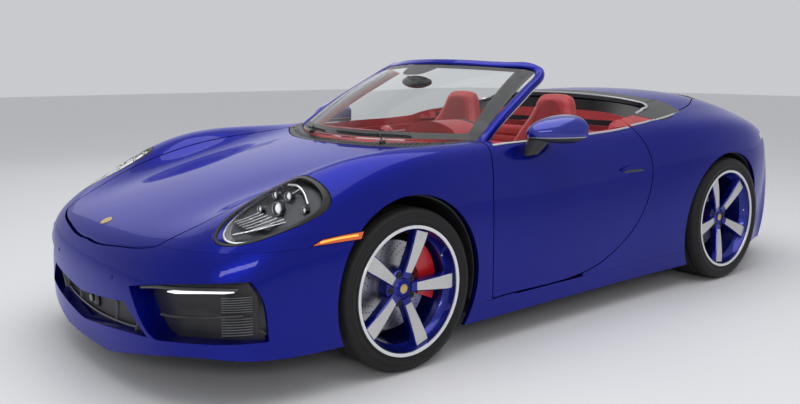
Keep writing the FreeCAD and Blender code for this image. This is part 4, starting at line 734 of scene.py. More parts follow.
# %% Rims
def rim_finish(corner):
    """Silver on the lip, blue elsewhere, told apart by place in the wheel."""
    width, rim = CORNERS[corner][3:5]
    finish = Finish(corner + "_rim_paint", metallic=0.75, coat_weight=0.6, coat_roughness=0.04)
    out, dy, dz, radius = wheel_wires(finish, corner)
    lip = (radius > (rim - 15) / 1000) * (out > (width / 2 - 14) / 1000)
    finish.set("Base Color", finish.mix(lip, (0.006, 0.014, 0.24), (0.74, 0.75, 0.76)))
    return finish.set("Roughness", finish.noise(85.0, 5.0, 0.6) * 0.14 + 0.22)


def rim_profile(half, rim, seat):
    """The closed section of the barrel: lip, bead seats and well, front to back and round inside."""
    return [(half - 4, rim - 1), (half - 5, rim), (half - 12, rim), (half - 14, seat + 2), (half - 42, seat),
            (half - 54, seat - 12), (-(half - 54), seat - 12), (-(half - 42), seat), (-(half - 14), seat + 2),
            (-(half - 12), rim), (-(half - 4), rim), (-(half - 6), seat - 9), (-(half - 46), seat - 9),
            (-(half - 58), seat - 21), (half - 60, seat - 21), (half - 50, seat - 12), (half - 28, seat - 4),
            (half - 12, rim - 15.5), (half - 6, rim - 14)]


def spoke(corner, half, tip, middle):
    """The rows of one spoke's body, and those of the bright face on it."""
    shell, face = [], []
    for share in np.linspace(0, 1, 9):
        radius = 44 + (tip - 44) * share
        wide = 15.5 + 17.5 * share ** 1.15
        front = half - 22 - 30 * (1 - share) ** 1.6
        deep = 44 - 10 * share
        shell.append(spoke_row(corner, radius, middle, [
            (-wide - 7, front - deep), (-wide - 5, front - 6), (-wide - 1.5, front - 0.8),
            (wide + 1.5, front - 0.8), (wide + 5, front - 6), (wide + 7, front - deep)]))
        if 0.07 < share < 1:
            face.append(spoke_row(corner, radius, middle, [
                (-wide, front - 1.5), (-wide, front - 0.2), (wide, front - 0.2), (wide, front - 1.5)]))
    wide = 15.5 + 17.5 - 3
    face.append(spoke_row(corner, tip - 1.5, middle, [(-wide, half - 23.5), (-wide, half - 22.2),
                                                      (wide, half - 22.2), (wide, half - 23.5)]))
    return shell, face


# %% [markdown]
# One loop builds the four wheels: tyre, rim and spokes, bright faces, hub cap, badge, bolts in wells
# painted dark as shade, and valve.
# Every piece rides on its wheel's body, so all of it rolls and steers together.

# %% Wheels
for corner, (x, y, z, width, rim, side) in CORNERS.items():
    wheel, half, seat = corner + "_wheel", width / 2, rim - 17.5
    tyre = Form().rings(wheel_rings(corner, tyre_profile(width, z, rim), 128), True)
    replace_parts(tyre.piece(corner + "_tyre_tread", tyre_rubber(corner), wheel, "tyre_rubber"), corner + "_tyre")

    hub = [(2, 38), (2, 82), (half - 70, 78), (half - 62, 70), (half - 60, 44), (half - 56, 39), (half - 56, 36),
           (56, 36)]
    metal_part = Form().rings(wheel_rings(corner, rim_profile(half, rim, seat), 120), True)
    metal_part.rings(wheel_rings(corner, hub, 60), True)
    faces = Form()
    for index in range(SPOKES):
        shell, face = spoke(corner, half, seat - 6, spoke_turn(corner) + index * SPOKE_STEP)
        metal_part.rings(shell)
        faces.rings(face)
    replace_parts(metal_part.piece(corner + "_rim_metal", rim_finish(corner), wheel, "wheel_metal", 30),
                corner + "_rim")
    faces.piece(corner + "_spoke_faces", SILVER, wheel, "wheel_metal", 30)

    hub_form(corner, [(0, 30), (2.5, 34), (6, 35.5), (9, 33), (11.5, 26), (13, 12), (13.4, 0)], 40).piece(
        corner + "_hub_cap", PAINT, wheel, "wheel_metal")
    hub_form(corner, [(10.5, 20), (12.6, 19.4), (13.6, 17), (14.1, 8), (14.2, 0)], 36).piece(
        corner + "_cap_medallion", BRASS, wheel, "wheel_metal")
    # The dark cup round each bolt is painted shade in the bolt's well; the six-sided head in it is the bolt.
    bolt_well_shade = [(20, 14.5), (half - 60, 14.5), (half - 58.6, 13.8), (half - 58.6, 11), (40, 10.6)]
    head = [(30, 10), (half - 59.5, 10), (half - 57, 8.4), (half - 57, 5), (half - 64, 4.8)]
    bolts = Form()
    for index in range(SPOKES):
        centre = wheel_point(corner, 0, 60, spoke_turn(corner) + SPOKE_STEP / 2 + index * SPOKE_STEP)
        for steps, profile in ((24, bolt_well_shade), (6, head)):
            bolts.turned([(u / 1000, r / 1000) for u, r in profile], centre, (side, 0, 0), steps)
    bolts.piece(corner + "_bolts_and_well_shades", DARK_STEEL, wheel, "wheel_metal")
    Form().tube([wheel_point(corner, half - out, seat - down, spoke_turn(corner) + 41)
                 for out, down in ((44, 14), (30, 30))], 0.004).piece(
                    corner + "_valve", SILVER, wheel, "wheel_metal")
print("wheels finished, pieces:", len(PIECES))

# %% [markdown]
# A brake disc is cross-drilled in curved rows. The holes repeat by a rule, so Geometry Nodes set them
# out: points on rings, each ring turned a little further than the one inside it, with one small dark
# disc at each point. The discs sit a hair above the steel and are painted shade: their dark stands for
# the shade inside each hole, which reads as a hole at this size.

# %% Copies set out by Geometry Nodes
class Copies:
    """A Geometry Nodes group that sets copies of one small shape on points."""

    def __init__(self, name, inputs):
        self.tree, self.keys = bpy.data.node_groups.new(name, "GeometryNodeTree"), {}
        new = self.tree.interface.new_socket
        new(name="Geometry", in_out="INPUT", socket_type="NodeSocketGeometry")
        for word, value in (*inputs.items(), ("Finish", None)):
            kind = "Material" if value is None else "Int" if isinstance(value, int) else "Float"
            made = new(name=word, in_out="INPUT", socket_type="NodeSocket" + kind)
            made.default_value = value
            self.keys[word] = made.identifier
        new(name="Geometry", in_out="OUTPUT", socket_type="NodeSocketGeometry")
        self.start = self.node("NodeGroupInput")

    def node(self, kind, inputs=None, **settings):
        made = self.tree.nodes.new(kind)
        for word, value in settings.items():
            setattr(made, word, value)
        for key, value in (inputs or {}).items():
            if isinstance(value, bpy.types.NodeSocket):
                self.tree.links.new(value, made.inputs[key])
            else:
                made.inputs[key].default_value = value
        return made.outputs

    def sum(self, operation, *terms):
        return self.node("ShaderNodeMath", dict(enumerate(terms)), operation=operation)[0]

    def end(self, places):
        """One mesh of all the copies, with its material."""
        copies = self.node("GeometryNodeInstanceOnPoints", places)[0]
        real = self.node("GeometryNodeRealizeInstances", {0: copies})[0]
        dressed = self.node("GeometryNodeSetMaterial", {"Geometry": real, "Material": self.start["Finish"]})
        self.node("NodeGroupOutput", {0: dressed[0]})

    def made(self, seed_mesh, values):
        """The mesh that the group makes of a seed with these inputs."""
        seed = bpy.data.objects.new("seed", seed_mesh)
        bpy.context.collection.objects.link(seed)
        rows = seed.modifiers.new("rows", "NODES")
        rows.node_group = self.tree
        for word, value in values.items():
            rows[self.keys[word]] = value
        mesh = bpy.data.meshes.new_from_object(seed.evaluated_get(bpy.context.evaluated_depsgraph_get()))
        bpy.data.objects.remove(seed)
        return mesh


# %% [markdown]
# The tree for the dark discs of painted hole shade works out each point's row and turn from its
# number. Its sizes are named inputs, so one tree serves all four discs.

# %% Drilled holes, as dark discs of painted shade
ROWS, HOLES, DISC_INSET = 5, 26, 11.6
drilled = Copies("drilled_rows", {"Rows": ROWS, "Holes": HOLES, "Inner Radius": 0.128, "Row Step": 0.012,
                                  "Row Turn": 0.07, "Hole Radius": 0.0032})
start, total = drilled.start, drilled.sum
index = drilled.node("GeometryNodeInputIndex")[0]
row = total("FLOOR", total("DIVIDE", total("ADD", index, 0.5), start["Holes"]))
turn = total("ADD", total("MULTIPLY", total("DIVIDE", index, start["Holes"]), math.tau),
             total("MULTIPLY", row, start["Row Turn"]))
radius = total("ADD", start["Inner Radius"], total("MULTIPLY", row, start["Row Step"]))
spot = drilled.node("ShaderNodeCombineXYZ", {"Y": total("MULTIPLY", radius, total("SINE", turn)),
                                             "Z": total("MULTIPLY", radius, total("COSINE", turn))})[0]
points = drilled.node("GeometryNodePoints", {"Count": total("MULTIPLY", start["Rows"], start["Holes"]),
                                             "Position": spot})[0]
disc = drilled.node("GeometryNodeMeshCircle", {"Vertices": 10, "Radius": start["Hole Radius"]},
                    fill_type="NGON")[0]
thick = drilled.node("GeometryNodeExtrudeMesh", {"Mesh": disc, "Offset Scale": 0.0004})["Mesh"]
facing_out = drilled.node("GeometryNodeTransform", {"Geometry": thick, "Rotation": (0, math.pi / 2, 0)})[0]
drilled.end({"Points": points, "Instance": facing_out})

# Each disc gets dark copies that are painted shade, standing for the holes drilled through the steel.
for corner, (x, y, z, width, rim, side) in CORNERS.items():
    mesh = drilled.made(bpy.data.meshes.new("seed"),
                        {"Rows": ROWS, "Holes": HOLES, "Finish": BLACK_PLASTIC.material})
    mesh.transform(Matrix.Translation((side * (x - DISC_INSET) / 1000, y / 1000, z / 1000)))
    own(corner + "_disc_hole_shades", mesh, corner + "_wheel")
print("holes in each disc:", ROWS * HOLES)

# %% [markdown]
# Behind each clear headlamp lens sits a dark housing with a bright stepped reflector, one large and
# three small light modules, and a black surround along the lens edge. The lens itself is the packed
# piece; these parts stand in the room behind it, set back from the skin by the same rule on both sides.

# %% Headlamps: places and rings
LAMP_MIDDLE, LAMP_MAJOR, LAMP_MINOR, LAMP_TURN = (750, 716), 126, 100, math.radians(-38)
LAMP_SKIN = tree_of("front_lamps")
AIM = Vector((0.12, -1.0, 0.05)).normalized()


def in_lamp(rise, out, back=0.0):
    """A point of the lamp by its share up and outboard of the middle, set back behind the lens."""
    a = (0.849 * out - 0.528 * rise) * LAMP_MAJOR
    b = (0.849 * rise + 0.528 * out) * LAMP_MINOR
    x = LAMP_MIDDLE[0] + a * math.cos(LAMP_TURN) - b * math.sin(LAMP_TURN)
    z = LAMP_MIDDLE[1] + a * math.sin(LAMP_TURN) + b * math.cos(LAMP_TURN)
    spot = at(x, -1800, z)
    found = LAMP_SKIN.ray_cast(Vector((spot.x, -2.6, spot.z)), FORWARD, 1.6)[0]
    return (found or Vector((spot.x, -1.8, spot.z))) + Vector((0, back, -back * 0.27))


def lamp_rings(*pairs):
    """Rings round the lamp for pairs of (share of its size, distance back)."""
    return [[in_lamp(share * math.cos(turn), share * math.sin(turn), back) for turn in turns(72)]
            for share, back in pairs]


Form().rings(lamp_rings((0.985, -0.0003), (0.985, 0.021), (0.972, 0.021), (0.972, 0.002), (0.925, 0.0008),
                        (0.925, -0.0003)), True).mirrored().piece("headlamp_surrounds", GLASS_BLACK)
Form().rings(lamp_rings((0.90, 0.0235), (0.865, 0.0245), (0.865, 0.028), (0.90, 0.027)), True).mirrored().piece(
    "headlamp_light_rings", LAMP_BRIGHT)
BOWL = (0.96, 0.8, 0.6, 0.4, 0.2, 0.05)
Form().rings(lamp_rings(*[(share, 0.034 + 0.034 * (1 - share) ** 0.6) for share in BOWL],
                        *[(share, 0.037 + 0.034 * (1 - share) ** 0.6) for share in BOWL[::-1]]), True).mirrored(
    ).piece("headlamp_bowls", LAMP_SILVER)

# %% [markdown]
# The light modules are turned profiles that aim a little outwards, as lenses do. The fins between them
# are thin bars through points given in the lamp's own measure, so both lamps can share them.

# %% Headlamps: modules and fins
MODULES = [  # rise, outboard, radius, set back
    (0.11, 0.02, 0.026, 0.050), (0.44, -0.08, 0.018, 0.044), (0.31, -0.56, 0.013, 0.042),
    (0.19, 0.64, 0.012, 0.040),
    (-0.05, -0.42, 0.012, 0.044)]
housings, glows, rims = Form(), Form(), Form()
for rise, out, radius, back in MODULES:
    centre = in_lamp(rise, out, back)
    housings.turned([(-0.012, radius), (0.008, radius * 1.08), (0.012, radius * 1.02), (0.012, radius * 0.86),
                     (0.004, radius * 0.8), (-0.010, radius * 0.7)], centre, AIM, 28)
    rims.turned([(0.0105, radius * 1.04), (0.0135, radius * 1.0), (0.0135, radius * 0.9),
                 (0.0105, radius * 0.87)], centre, AIM, 36, closed=True)
    glows.turned([(-0.004, radius * 0.74), (0.004, radius * 0.72), (0.0085, radius * 0.5), (0.010, radius * 0.2),
                  (0.0102, 0)], centre, AIM, 28)
housings.mirrored().piece("headlamp_modules", BLACK_GLOSS)
rims.mirrored().piece("headlamp_module_rims", SILVER)
glows.mirrored().piece("headlamp_module_lenses", LAMP_GLOW)

FINS = [  # points in the lamp, count, radius, steps
    *((((-0.52, out, 0.034), (-0.34, out + 0.22, 0.030), (-0.10, out + 0.38, 0.036)), 9, 0.0034, 6)
      for out in (-0.62 + fin * 0.15 for fin in range(6))),
    (((-0.72, -0.1, 0.022), (-0.44, 0.34, 0.022), (-0.16, 0.66, 0.024)), 12, 0.0034, 8),
    (((0.60, -0.5, 0.026), (0.70, -0.12, 0.024), (0.60, 0.28, 0.024), (0.34, 0.60, 0.026)), 20, 0.0060, 8),
    (((0.50, 0.02, 0.026), (0.72, 0.10, 0.020)), 6, 0.0030, 6)]
fins = Form()
for places, count, radius, steps in FINS:
    fins.tube(smooth_line([in_lamp(*place) for place in places], count), radius, steps)
fins.mirrored().piece("headlamp_fins", LAMP_BRIGHT)
Form().rings([[in_lamp(rise, out, back) for out, back in
               ((0.16, 0.044), (0.46, 0.044), (0.46, 0.030), (0.16, 0.030))]
              for rise in (-0.42, -0.2)]).mirrored().piece("headlamp_trays", GREY_PLASTIC)

# %% [markdown]
# The side marker is an amber lens moulded to the fender. It is cut as a patch of the skin itself, so it
# follows the fender's curve, and a lit line is laid on it.

# %% Side markers
MARKER = ((-1704, 589.5), (-1660, 607), (-1561, 614.5), (-1474, 617.5), (-1488, 591.5), (-1600, 590.5))
Form().sheet(run(*((900, y, z) for y, z in MARKER)), INWARD, 0.0016, 0.0025).mirrored().piece(
    "side_marker_lenses", AMBER, slot="lamp_lens")
Form().strip(curve(12, (900, -1672, 598), (900, -1600, 604), (900, -1500, 607)), 0.008, 0.0022,
             INWARD).mirrored().piece("side_marker_strips", AMBER_GLOW, slot="lamp_lens")

# %% [markdown]
# The bumper's side openings are framed in black: a bright light strip along the top, a thin blade
# across the middle, two stacks of fine slats before a flat end plate, and round parking sensors. The
# slats repeat, so one loop lays them between two measured rows.

# %% Front side openings
light_line = curve(24, (640, -2184, 440), (700, -2158, 447), (770, -2104, 453), (838, -2018, 452))
ledge = curve(24, (500, -2226, 436), (600, -2200, 452), (700, -2163, 460), (780, -2102, 464), (850, -2010, 462))
blade = curve(24, (590, -2196, 345), (660, -2176, 350), (740, -2130, 357), (801, -2077, 361), (846, -1996, 362))
tapered = [0.0065 * min(1.0, 0.35 + 0.2 * min(i, 23 - i)) for i in range(24)]
Form().tube(set_back(light_line, 0.012), tapered).mirrored().piece(
    "daylight_strips", WHITE_GLOW, slot="lamp_lens")
Form().tube(set_back(ledge, 0.014), 0.008, 8).mirrored().piece("opening_upper_trims", BLACK_GLOSS)
Form().tube(set_back(blade, 0.02), 0.006, 8).mirrored().piece("opening_blades", BLACK_PLASTIC)
slats = Form()
for z in (*np.linspace(288, 348, 7), *np.linspace(374, 426, 7)):
    slats.tube(set_back(curve(8, (797, -2060, z), (828, -2018, z), (852, -1962, z)), 0.022), 0.0022, 6)
slats.mirrored().piece("opening_slats", GREY_PLASTIC)
Form().tube(run((797, -2034, 282), (797, -2034, 432)), 0.004, 8).mirrored().piece("slat_posts", BLACK_PLASTIC)
Form().sheet(run((846, -2000, 276), (872, -1990, 284), (872, -1990, 440), (850, -2000, 452)), FORWARD,
             0.0012, 0.004,
             tree_of("front_bumper", "front_intakes"), 0.015).mirrored().piece(
    "opening_end_plates", BLACK_PLASTIC)


# %% [markdown]
# Parking sensors sit level with the painted bumper, each in a fine groove. Behind the middle opening
# stand the vanes of the air flaps, a shelf and a flat radar cover. All are bars, boxes or turned discs.

# %% Sensors, vanes and badge of the nose
def sensors(name, places, facing):
    """Round painted sensors with a fine groove, set in the skin on both sides."""
    form, radius = Form(), 0.0095
    for place in places:
        centre = at(*place)
        spot, normal, face, gap = SKIN.ray_cast(centre - facing * 0.3, facing, 0.6)
        normal = normal if normal and normal.dot(facing) < 0 else -facing
        form.turned([(-0.004, radius), (0.0005, radius), (0.0014, radius * 0.9), (0.0016, radius * 0.55),
                     (0.0006, radius * 0.5), (0.0012, 0)], spot or centre, normal, 28)
    form.mirrored().piece(name, PAINT, slot="body_paint")


sensors("parking_sensors", ((313, -2200, 439), (612, -2200, 500)), FORWARD)
vanes = Form()
for x in (-420, -215, 215, 420):
    line = curve(10, (x * 1.04, -2218, 318), (x, -2214, 262), (x * 0.9, -2216, 215), (x * 0.84, -2218, 186))
    for lean in (-14, 0, 14):
        vanes.tube([p + Vector((lean / 1000, 0.018 + abs(lean) * 0.0007, 0)) for p in line], 0.009, 8)
vanes.piece("intake_vanes", GREY_PLASTIC)
shelf = curve(40, (-500, -2216, 262), (-300, -2240, 238), (0, -2252, 226), (300, -2240, 238), (500, -2216, 262))
Form().tube(set_back(shelf, 0.044), 0.008, 8).piece("intake_shelf", BLACK_GLOSS)
radar = Form().block(at(-46, -2222, 252), at(46, -2196, 316), 0.008)
radar.turned([(0, 0.017), (0.006, 0.019), (0.009, 0.016), (0.010, 0.008), (0.0095, 0)], at(0, -2222, 284),
             BACKWARD, 28)
radar.piece("intake_sensor", BLACK_GLOSS)
spot, normal, face, gap = SKIN.ray_cast(at(0, -2152, 900), DOWN, 1.0)
Form().turned([(-0.002, 0.026), (0.0012, 0.0262), (0.0026, 0.0245), (0.0030, 0.021), (0.0026, 0.0195),
               (0.0030, 0.012), (0.0032, 0)], spot, normal, 40).piece("hood_medallion", BRASS, "front_lid",
                                                                      "body_paint")

# %% [markdown]
# The windscreen's glass is edged in black where it is bonded, wide along the pillars and at the foot.
# Satin metal strips follow the rear edge of each pillar and the whole belt line; they are bars laid on
# the measured lines.

# %% Windscreen edge
GLASS_NORMAL = Vector((0, -0.5, 0.866))


def glass_point(part, share):
    """A point near the glass by its share of the half width and of the height."""
    low, high = at(0, -952, 897), at(0, -316, 1252)
    low_edge, high_edge = at(716, -642, 899), at(578, -132, 1224)
    centre, edge = low.lerp(high, share), low_edge.lerp(high_edge, share)
    return Vector((edge.x * part, centre.y + (edge.y - centre.y) * part ** 2,
                   centre.z + (edge.z - centre.z) * part ** 2 + 0.026 * math.sin(math.pi * share)))


def on_glass(outer, inner, proud):
    """A thin ring across a border that is printed on the glass."""
    a, b = laid([glass_point(*outer), glass_point(*inner)], -GLASS_NORMAL, GLASS_SHAPE, 0.1)
    return [a[0] - a[1] * 0.0003, a[0] + a[1] * proud, b[0] + b[1] * proud, b[0] - b[1] * 0.0003]


def held(value, low, high):
    return min(max(value, low), high)


up, across = np.linspace(0.02, 0.975, 24), np.linspace(0.96, -0.96, 40)
border = [((0.99 + 0.05 * s, s), (0.925 - 0.02 * s, held(s, 0.07, 0.93))) for s in up]
border += [((part, 0.99), (held(part, -0.90, 0.90), 0.93)) for part in across]
border += [((-0.99 - 0.05 * s, s), (-(0.925 - 0.02 * s), held(s, 0.07, 0.93)))
           for s in np.linspace(0.975, 0.02, 24)]
border += [((part, 0.012), (held(part, -0.92, 0.92), 0.075)) for part in np.linspace(-0.96, 0.96, 40)]
Form().rings([on_glass(outer, inner, 0.0007) for outer, inner in border], True).piece(
    "windscreen_border", GLASS_BLACK, angle=60)
shade = [((part, 0.94), (part, 0.93 - 0.13 * max(0.0, 1 - (abs(part) / 0.2) ** 4)))
         for part in np.linspace(-0.2, 0.2, 18)]
Form().rings([on_glass(top, foot, 0.0008) for top, foot in shade]).piece("mirror_shade", GLASS_BLACK, angle=60)

# %% [markdown]
# Each pillar carries three long pieces: a satin strip outside, a rubber seal along its rear edge and a
# red lining inside. They could be swept along a curve; laying each point on the frame keeps them on it.

# %% Pillar strips, seals and linings
PILLAR = [(728, -652, 884), (705, -520, 978), (676, -330, 1090), (650, -190, 1166), (628, -124, 1206)]
FRAME_SHAPE = tree_of("windscreen_frame")
strip_line = curve(40, *((x + 12, y + 22, z - 6) for x, y, z in PILLAR[:4]), (640, -104, 1196))
Form().strip(strip_line, 0.011, 0.004, Vector((-0.75, -0.6, 0.1)).normalized(), FRAME_SHAPE,
             sink=0.003).mirrored().piece("pillar_strips", ALUMINIUM)
Form().strip(curve(32, *((x + 2, y + 32, z - 14) for x, y, z in PILLAR[:4])), 0.014, 0.003,
             Vector((-0.3, -0.95, 0.1)).normalized(), FRAME_SHAPE).mirrored().piece(
    "pillar_seals", BLACK_PLASTIC)
drawn = [tuple(spot * 1000) for spot in
         smooth_line([Vector(point) / 1000 for point in PILLAR + [(600, -84, 1234)]], 28)]
Form().rings([run((x - 4, y + 14, z - 10), (x - 34, y + 20, z - 24), (x - 52, y + 34, z - 34),
                  (x - 20, y + 32, z - 26)) for x, y, z in drawn]).mirrored().cover("pillar_linings", angle=38)

# %% [markdown]
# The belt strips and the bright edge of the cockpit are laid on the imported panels. A strip that is laid
# can't float above its panel or sink into it, whatever the panel's curve.

# %% Belt line, cockpit edge and top cover band
BELT_FACING = Vector((-0.55, 0, -0.83))
door_belt = curve(70, (798, -640, 893), (795, -560, 896), (794, -456, 897), (794, -200, 902), (793, 56, 906),
                  (793, 251, 912), (790, 405, 922))
rear_belt = curve(50, (782, 436, 928), (778, 560, 937), (774, 650, 945), (776, 720, 955), (766, 830, 968),
                  (745, 940, 980), (731, 985, 984))
Form().strip(door_belt, 0.013, 0.004, BELT_FACING).on_doors("door_belt_strip", ALUMINIUM)
Form().strip(rear_belt, 0.013, 0.004, BELT_FACING).mirrored().piece("rear_belt_strips", ALUMINIUM)
cockpit_edge = curve(70, (702, 600, 982), (690, 640, 990), (680, 690, 1003), (664, 755, 1012), (640, 790, 1022),
                     (600, 806, 1034), (516, 770, 1052), (402, 736, 1066), (238, 720, 1073), (0, 714, 1078))
Form().strip(both_sides(cockpit_edge), 0.015, 0.006, DOWN,
             tree_of("cover_band", "top_cover", "rear_side_trims", "rear_quarters")).piece(
    "cockpit_edge_strip", ALUMINIUM, "top_cover")
Form().strip(curve(20, (600, 815, 1032), (590, 900, 1028), (572, 990, 1020)), 0.004, 0.0012,
             DOWN).mirrored().piece("cover_band_seams", DARK_STEEL, "top_cover")
print("trim strips laid, pieces:", len(PIECES))

# %% [markdown]
# Handles, mirror glasses and wipers are small but seen from every side. The handle is a slim bar over
# a dished hollow, whose shade is painted as a thin dark strip under the bar; the mirror's glass is a thin
# plate inset in the flat back of its shell.

# %% Door furniture
Form().strip(curve(26, (884, 236, 716), (890, 300, 722), (890, 380, 722), (884, 452, 716)), 0.026, 0.011, INWARD,
             taper=True).on_doors("door_handle", PAINT, "body_paint")
# The dark strip under the handle is painted shade of the hollow.
Form().strip(curve(20, (884, 262, 704), (888, 340, 707), (884, 424, 704)), 0.016, 0.0015, INWARD,
             taper=True).on_doors("handle_hollow_shade", BLACK_GLOSS)
MIRROR_EDGE = ((828, 902), (845, 893), (900, 889), (960, 896), (1000, 916), (1010, 940), (1000, 975), (965, 1005),
               (915, 1013), (868, 1008), (838, 990), (824, 960), (822, 925))
glass_ring = run(*((x * 0.985 + 13, -236, z * 0.97 + 28) for x, z in MIRROR_EDGE))
Form().rings([set_back(glass_ring, -0.004), set_back(glass_ring, 0.0022)]).on_doors(
    "mirror_glass", MIRROR_GLASS)

# %% [markdown]
# Each wiper is two tubes laid along the foot of the glass and an arm from a round pivot on the cowl.
# The cowl's slots are short dark bars, one after the other, painted shade in the openings.

# %% Wipers and cowl
wipers = Form()
for offset in (0, 590):
    blade_line = [glass_point(part, share) + GLASS_NORMAL * 0.010 for part, share in
                  ((0.62 - offset / 760, 0.028), (0.3 - offset / 760, 0.03), (0.0 - offset / 900, 0.036))]
    spine = laid(smooth_line(blade_line, 22), -GLASS_NORMAL, GLASS_SHAPE, 0.1)
    wipers.tube(raised(spine, 0.007), 0.003, 8).tube(raised(spine, 0.004), 0.002, 6)
    arm_end = spine[8][0] + spine[8][1] * 0.015
    pivot = laid([at(330 - offset, -905, 900)], DOWN, SKIN)[0][0]
    wipers.tube(smooth_line([pivot + Vector((0, 0, 0.004)), pivot.lerp(arm_end, 0.5) + Vector((0, 0, 0.016)),
                             arm_end], 12), 0.004, 8)
    wipers.turned([(-0.004, 0.017), (0.010, 0.016), (0.014, 0.012), (0.0145, 0)], pivot, (0, -0.2, 1), 24)
wipers.piece("wipers", BLACK_PLASTIC)
# Dark gloss bars are painted shade where the cowl is open.
cowl_slot_shades, cowl_shape = Form(), tree_of("wiper_cowl")
for index in range(46):
    x = -560 + index * 24.8
    y = -1000 + 190 * (x / 600) ** 2
    cowl_slot_shades.tube(raised(laid(run((x, y + 8, 900), (x, y + 34, 900)), DOWN, cowl_shape), 0), 0.003, 6)
cowl_slot_shades.piece("cowl_slot_shades", BLACK_GLOSS)

# %% [markdown]
# A car seat is foam under a tight sewn cover. Its shape is drawn as rings: side bolsters stand forward
# of a flatter middle, and the head support grows out of the back. Cloth simulation then fills the cover
# from inside, which rounds the edges as real foam does; the seams and stitches come after it.

# %% Padding: sections
def blunt(value, power):
    """A sine made squarer, so that a ring of them is a soft rectangle."""
    return math.copysign(abs(value) ** power, value)


def back_ring(middle_y, z, half, depth, bolster, tilt):
    """One section of a seat back: a soft rectangle whose sides stand forward by the bolster's height."""
    ring = []
    for turn in turns(64):
        u, v = math.cos(turn), math.sin(turn)
        x, y = blunt(u, 0.55) * half, blunt(v, 0.6) * depth / 2
        if v < 0:
            share = min(1.0, abs(x) / half)
            rounded_off = 1 - max(0.0, (share - 0.9) / 0.1) ** 2 * 0.7
            y -= bolster * max(0.0, (share - 0.52) / 0.48) ** 1.1 * rounded_off
        spot = Vector((x, y * math.cos(tilt), -y * math.sin(tilt))) + Vector((0, middle_y, z))
        ring.append(at(SEAT_X + spot.x, spot.y, spot.z))
    return ring


def pad_ring(x, y, z, half, height, count, bolster=0.0):
    """One section of a cushion: a soft rectangle whose upper sides are raised by the bolster."""
    ring = []
    for turn in turns(count):
        aside, rise = blunt(math.cos(turn), 0.5) * half, blunt(math.sin(turn), 0.6) * height / 2
        if rise > 0:
            rise += bolster * max(0.0, (abs(aside) / half - 0.5) / 0.5) ** 1.2
        ring.append(at(x + aside, y, z + rise))
    return ring


def stations_between(stations, count):
    """Rows of numbers blended smoothly from a few measured ones."""
    table = np.array(stations, float)
    result = []
    for place in np.linspace(0, len(table) - 1, count):
        low = min(int(place), len(table) - 2)
        before, after = max(low - 1, 0), min(low + 2, len(table) - 1)
        result.append(eased(table[before], table[low], table[low + 1], table[after], place - low))
    return result


# %% [markdown]
# The cover is first remeshed evenly, because cloth can only bend at its vertices. Pressure then fills it
# without gravity, and no point may move further than a cap, so the seat keeps its measured size.

# %% Padding: filling by simulation
def shape_now(item):
    return item.evaluated_get(bpy.context.evaluated_depsgraph_get())


def stuffed(item, cap, frames=20):
    """Fills a closed cover from inside, moving no point further than the cap."""
    even = item.modifiers.new("even", "REMESH")
    even.mode, even.voxel_size = "VOXEL", 0.006
    mesh = bpy.data.meshes.new_from_object(shape_now(item))
    item.modifiers.remove(even)
    mesh.materials.clear()
    mesh.materials.append(item.data.materials[0])
    item.data = mesh
    rest = np.array([vertex.co for vertex in mesh.vertices])
    cloth = item.modifiers.new("filling", "CLOTH")
    cloth.settings.quality = 4
    cloth.settings.use_pressure = True
    cloth.settings.uniform_pressure_force = 4.0
    cloth.settings.effector_weights.gravity = 0.0
    cloth.settings.mass = 0.4
    cloth.point_cache.frame_start, cloth.point_cache.frame_end = 1, frames
    for step in range(1, frames + 1):
        bpy.context.scene.frame_set(step)
    moved = np.array([vertex.co for vertex in shape_now(item).to_mesh().vertices]) - rest
    shape_now(item).to_mesh_clear()
    item.modifiers.remove(cloth)
    bpy.context.scene.frame_set(1)
    length = np.linalg.norm(moved, axis=1, keepdims=True)
    moved *= np.minimum(1.0, cap / np.maximum(length, 1e-9))
    mesh.vertices.foreach_set("co", (rest + moved).astype(np.float32).ravel())
    mesh.update()
    mesh.shade_smooth()
    print(item.name, "filled, furthest point moved by", round(float(length.max()) * 1000, 1), "mm")


def right_pad(item, name):
    """A mirrored copy of a finished cushion for the car's right side."""
    mesh = item.data.copy()
    mesh.name = name
    mesh.transform(Matrix.Scale(-1, 4, (1, 0, 0)))
    mesh.flip_normals()
    return own(name, mesh)


def mesh_tree(item):
    return BVHTree.FromPolygons([vertex.co.copy() for vertex in item.data.vertices],
                                [tuple(face.vertices) for face in item.data.polygons])


# %% [markdown]
# Stitches are one short thread repeated along a seam. Geometry Nodes walk along the seam's line, drop a
# thread every few millimetres and turn it with the line, so a seam is one modifier with its pitch and
# thread size as inputs.

# %% Stitches
PITCH = 0.0065
sewn = Copies("stitch_row", {"Pitch": PITCH, "Thread Radius": 0.0007, "Thread Length": 0.0042})
seam = sewn.node("GeometryNodeMeshToCurve", {0: sewn.start["Geometry"]})[0]
walk = sewn.node("GeometryNodeCurveToPoints", {"Curve": seam, "Length": sewn.start["Pitch"]}, mode="LENGTH")
thread = sewn.node("GeometryNodeMeshCylinder", {"Vertices": 5, "Radius": sewn.start["Thread Radius"],
                                                "Depth": sewn.start["Thread Length"]})["Mesh"]
sewn.end({"Points": walk["Points"], "Rotation": walk["Rotation"], "Instance": thread})
THREAD = Finish("pale_thread", color=(0.50, 0.20, 0.19), roughness=0.7)
THREAD.set("Roughness", THREAD.noise(400.0) * 0.2 + 0.6)


def stitches(name, lines, body="body"):
    """A row of threads along each of the lines."""
    mesh = bpy.data.meshes.new(name)
    points, edges = [], []
    for line in lines:
        start = len(points)
        points += [tuple(point) for point in line]
        edges += [(start + index, start + index + 1) for index in range(len(line) - 1)]
    mesh.from_pydata(points, edges, [])
    own(name, sewn.made(mesh, {"Pitch": PITCH, "Finish": THREAD.material}), body)


# %% [markdown]
# The front seats come from two tables of sections, blended smoothly. The left seat is built and filled;
# the right one is its mirror image, as the two seats of a real car are.

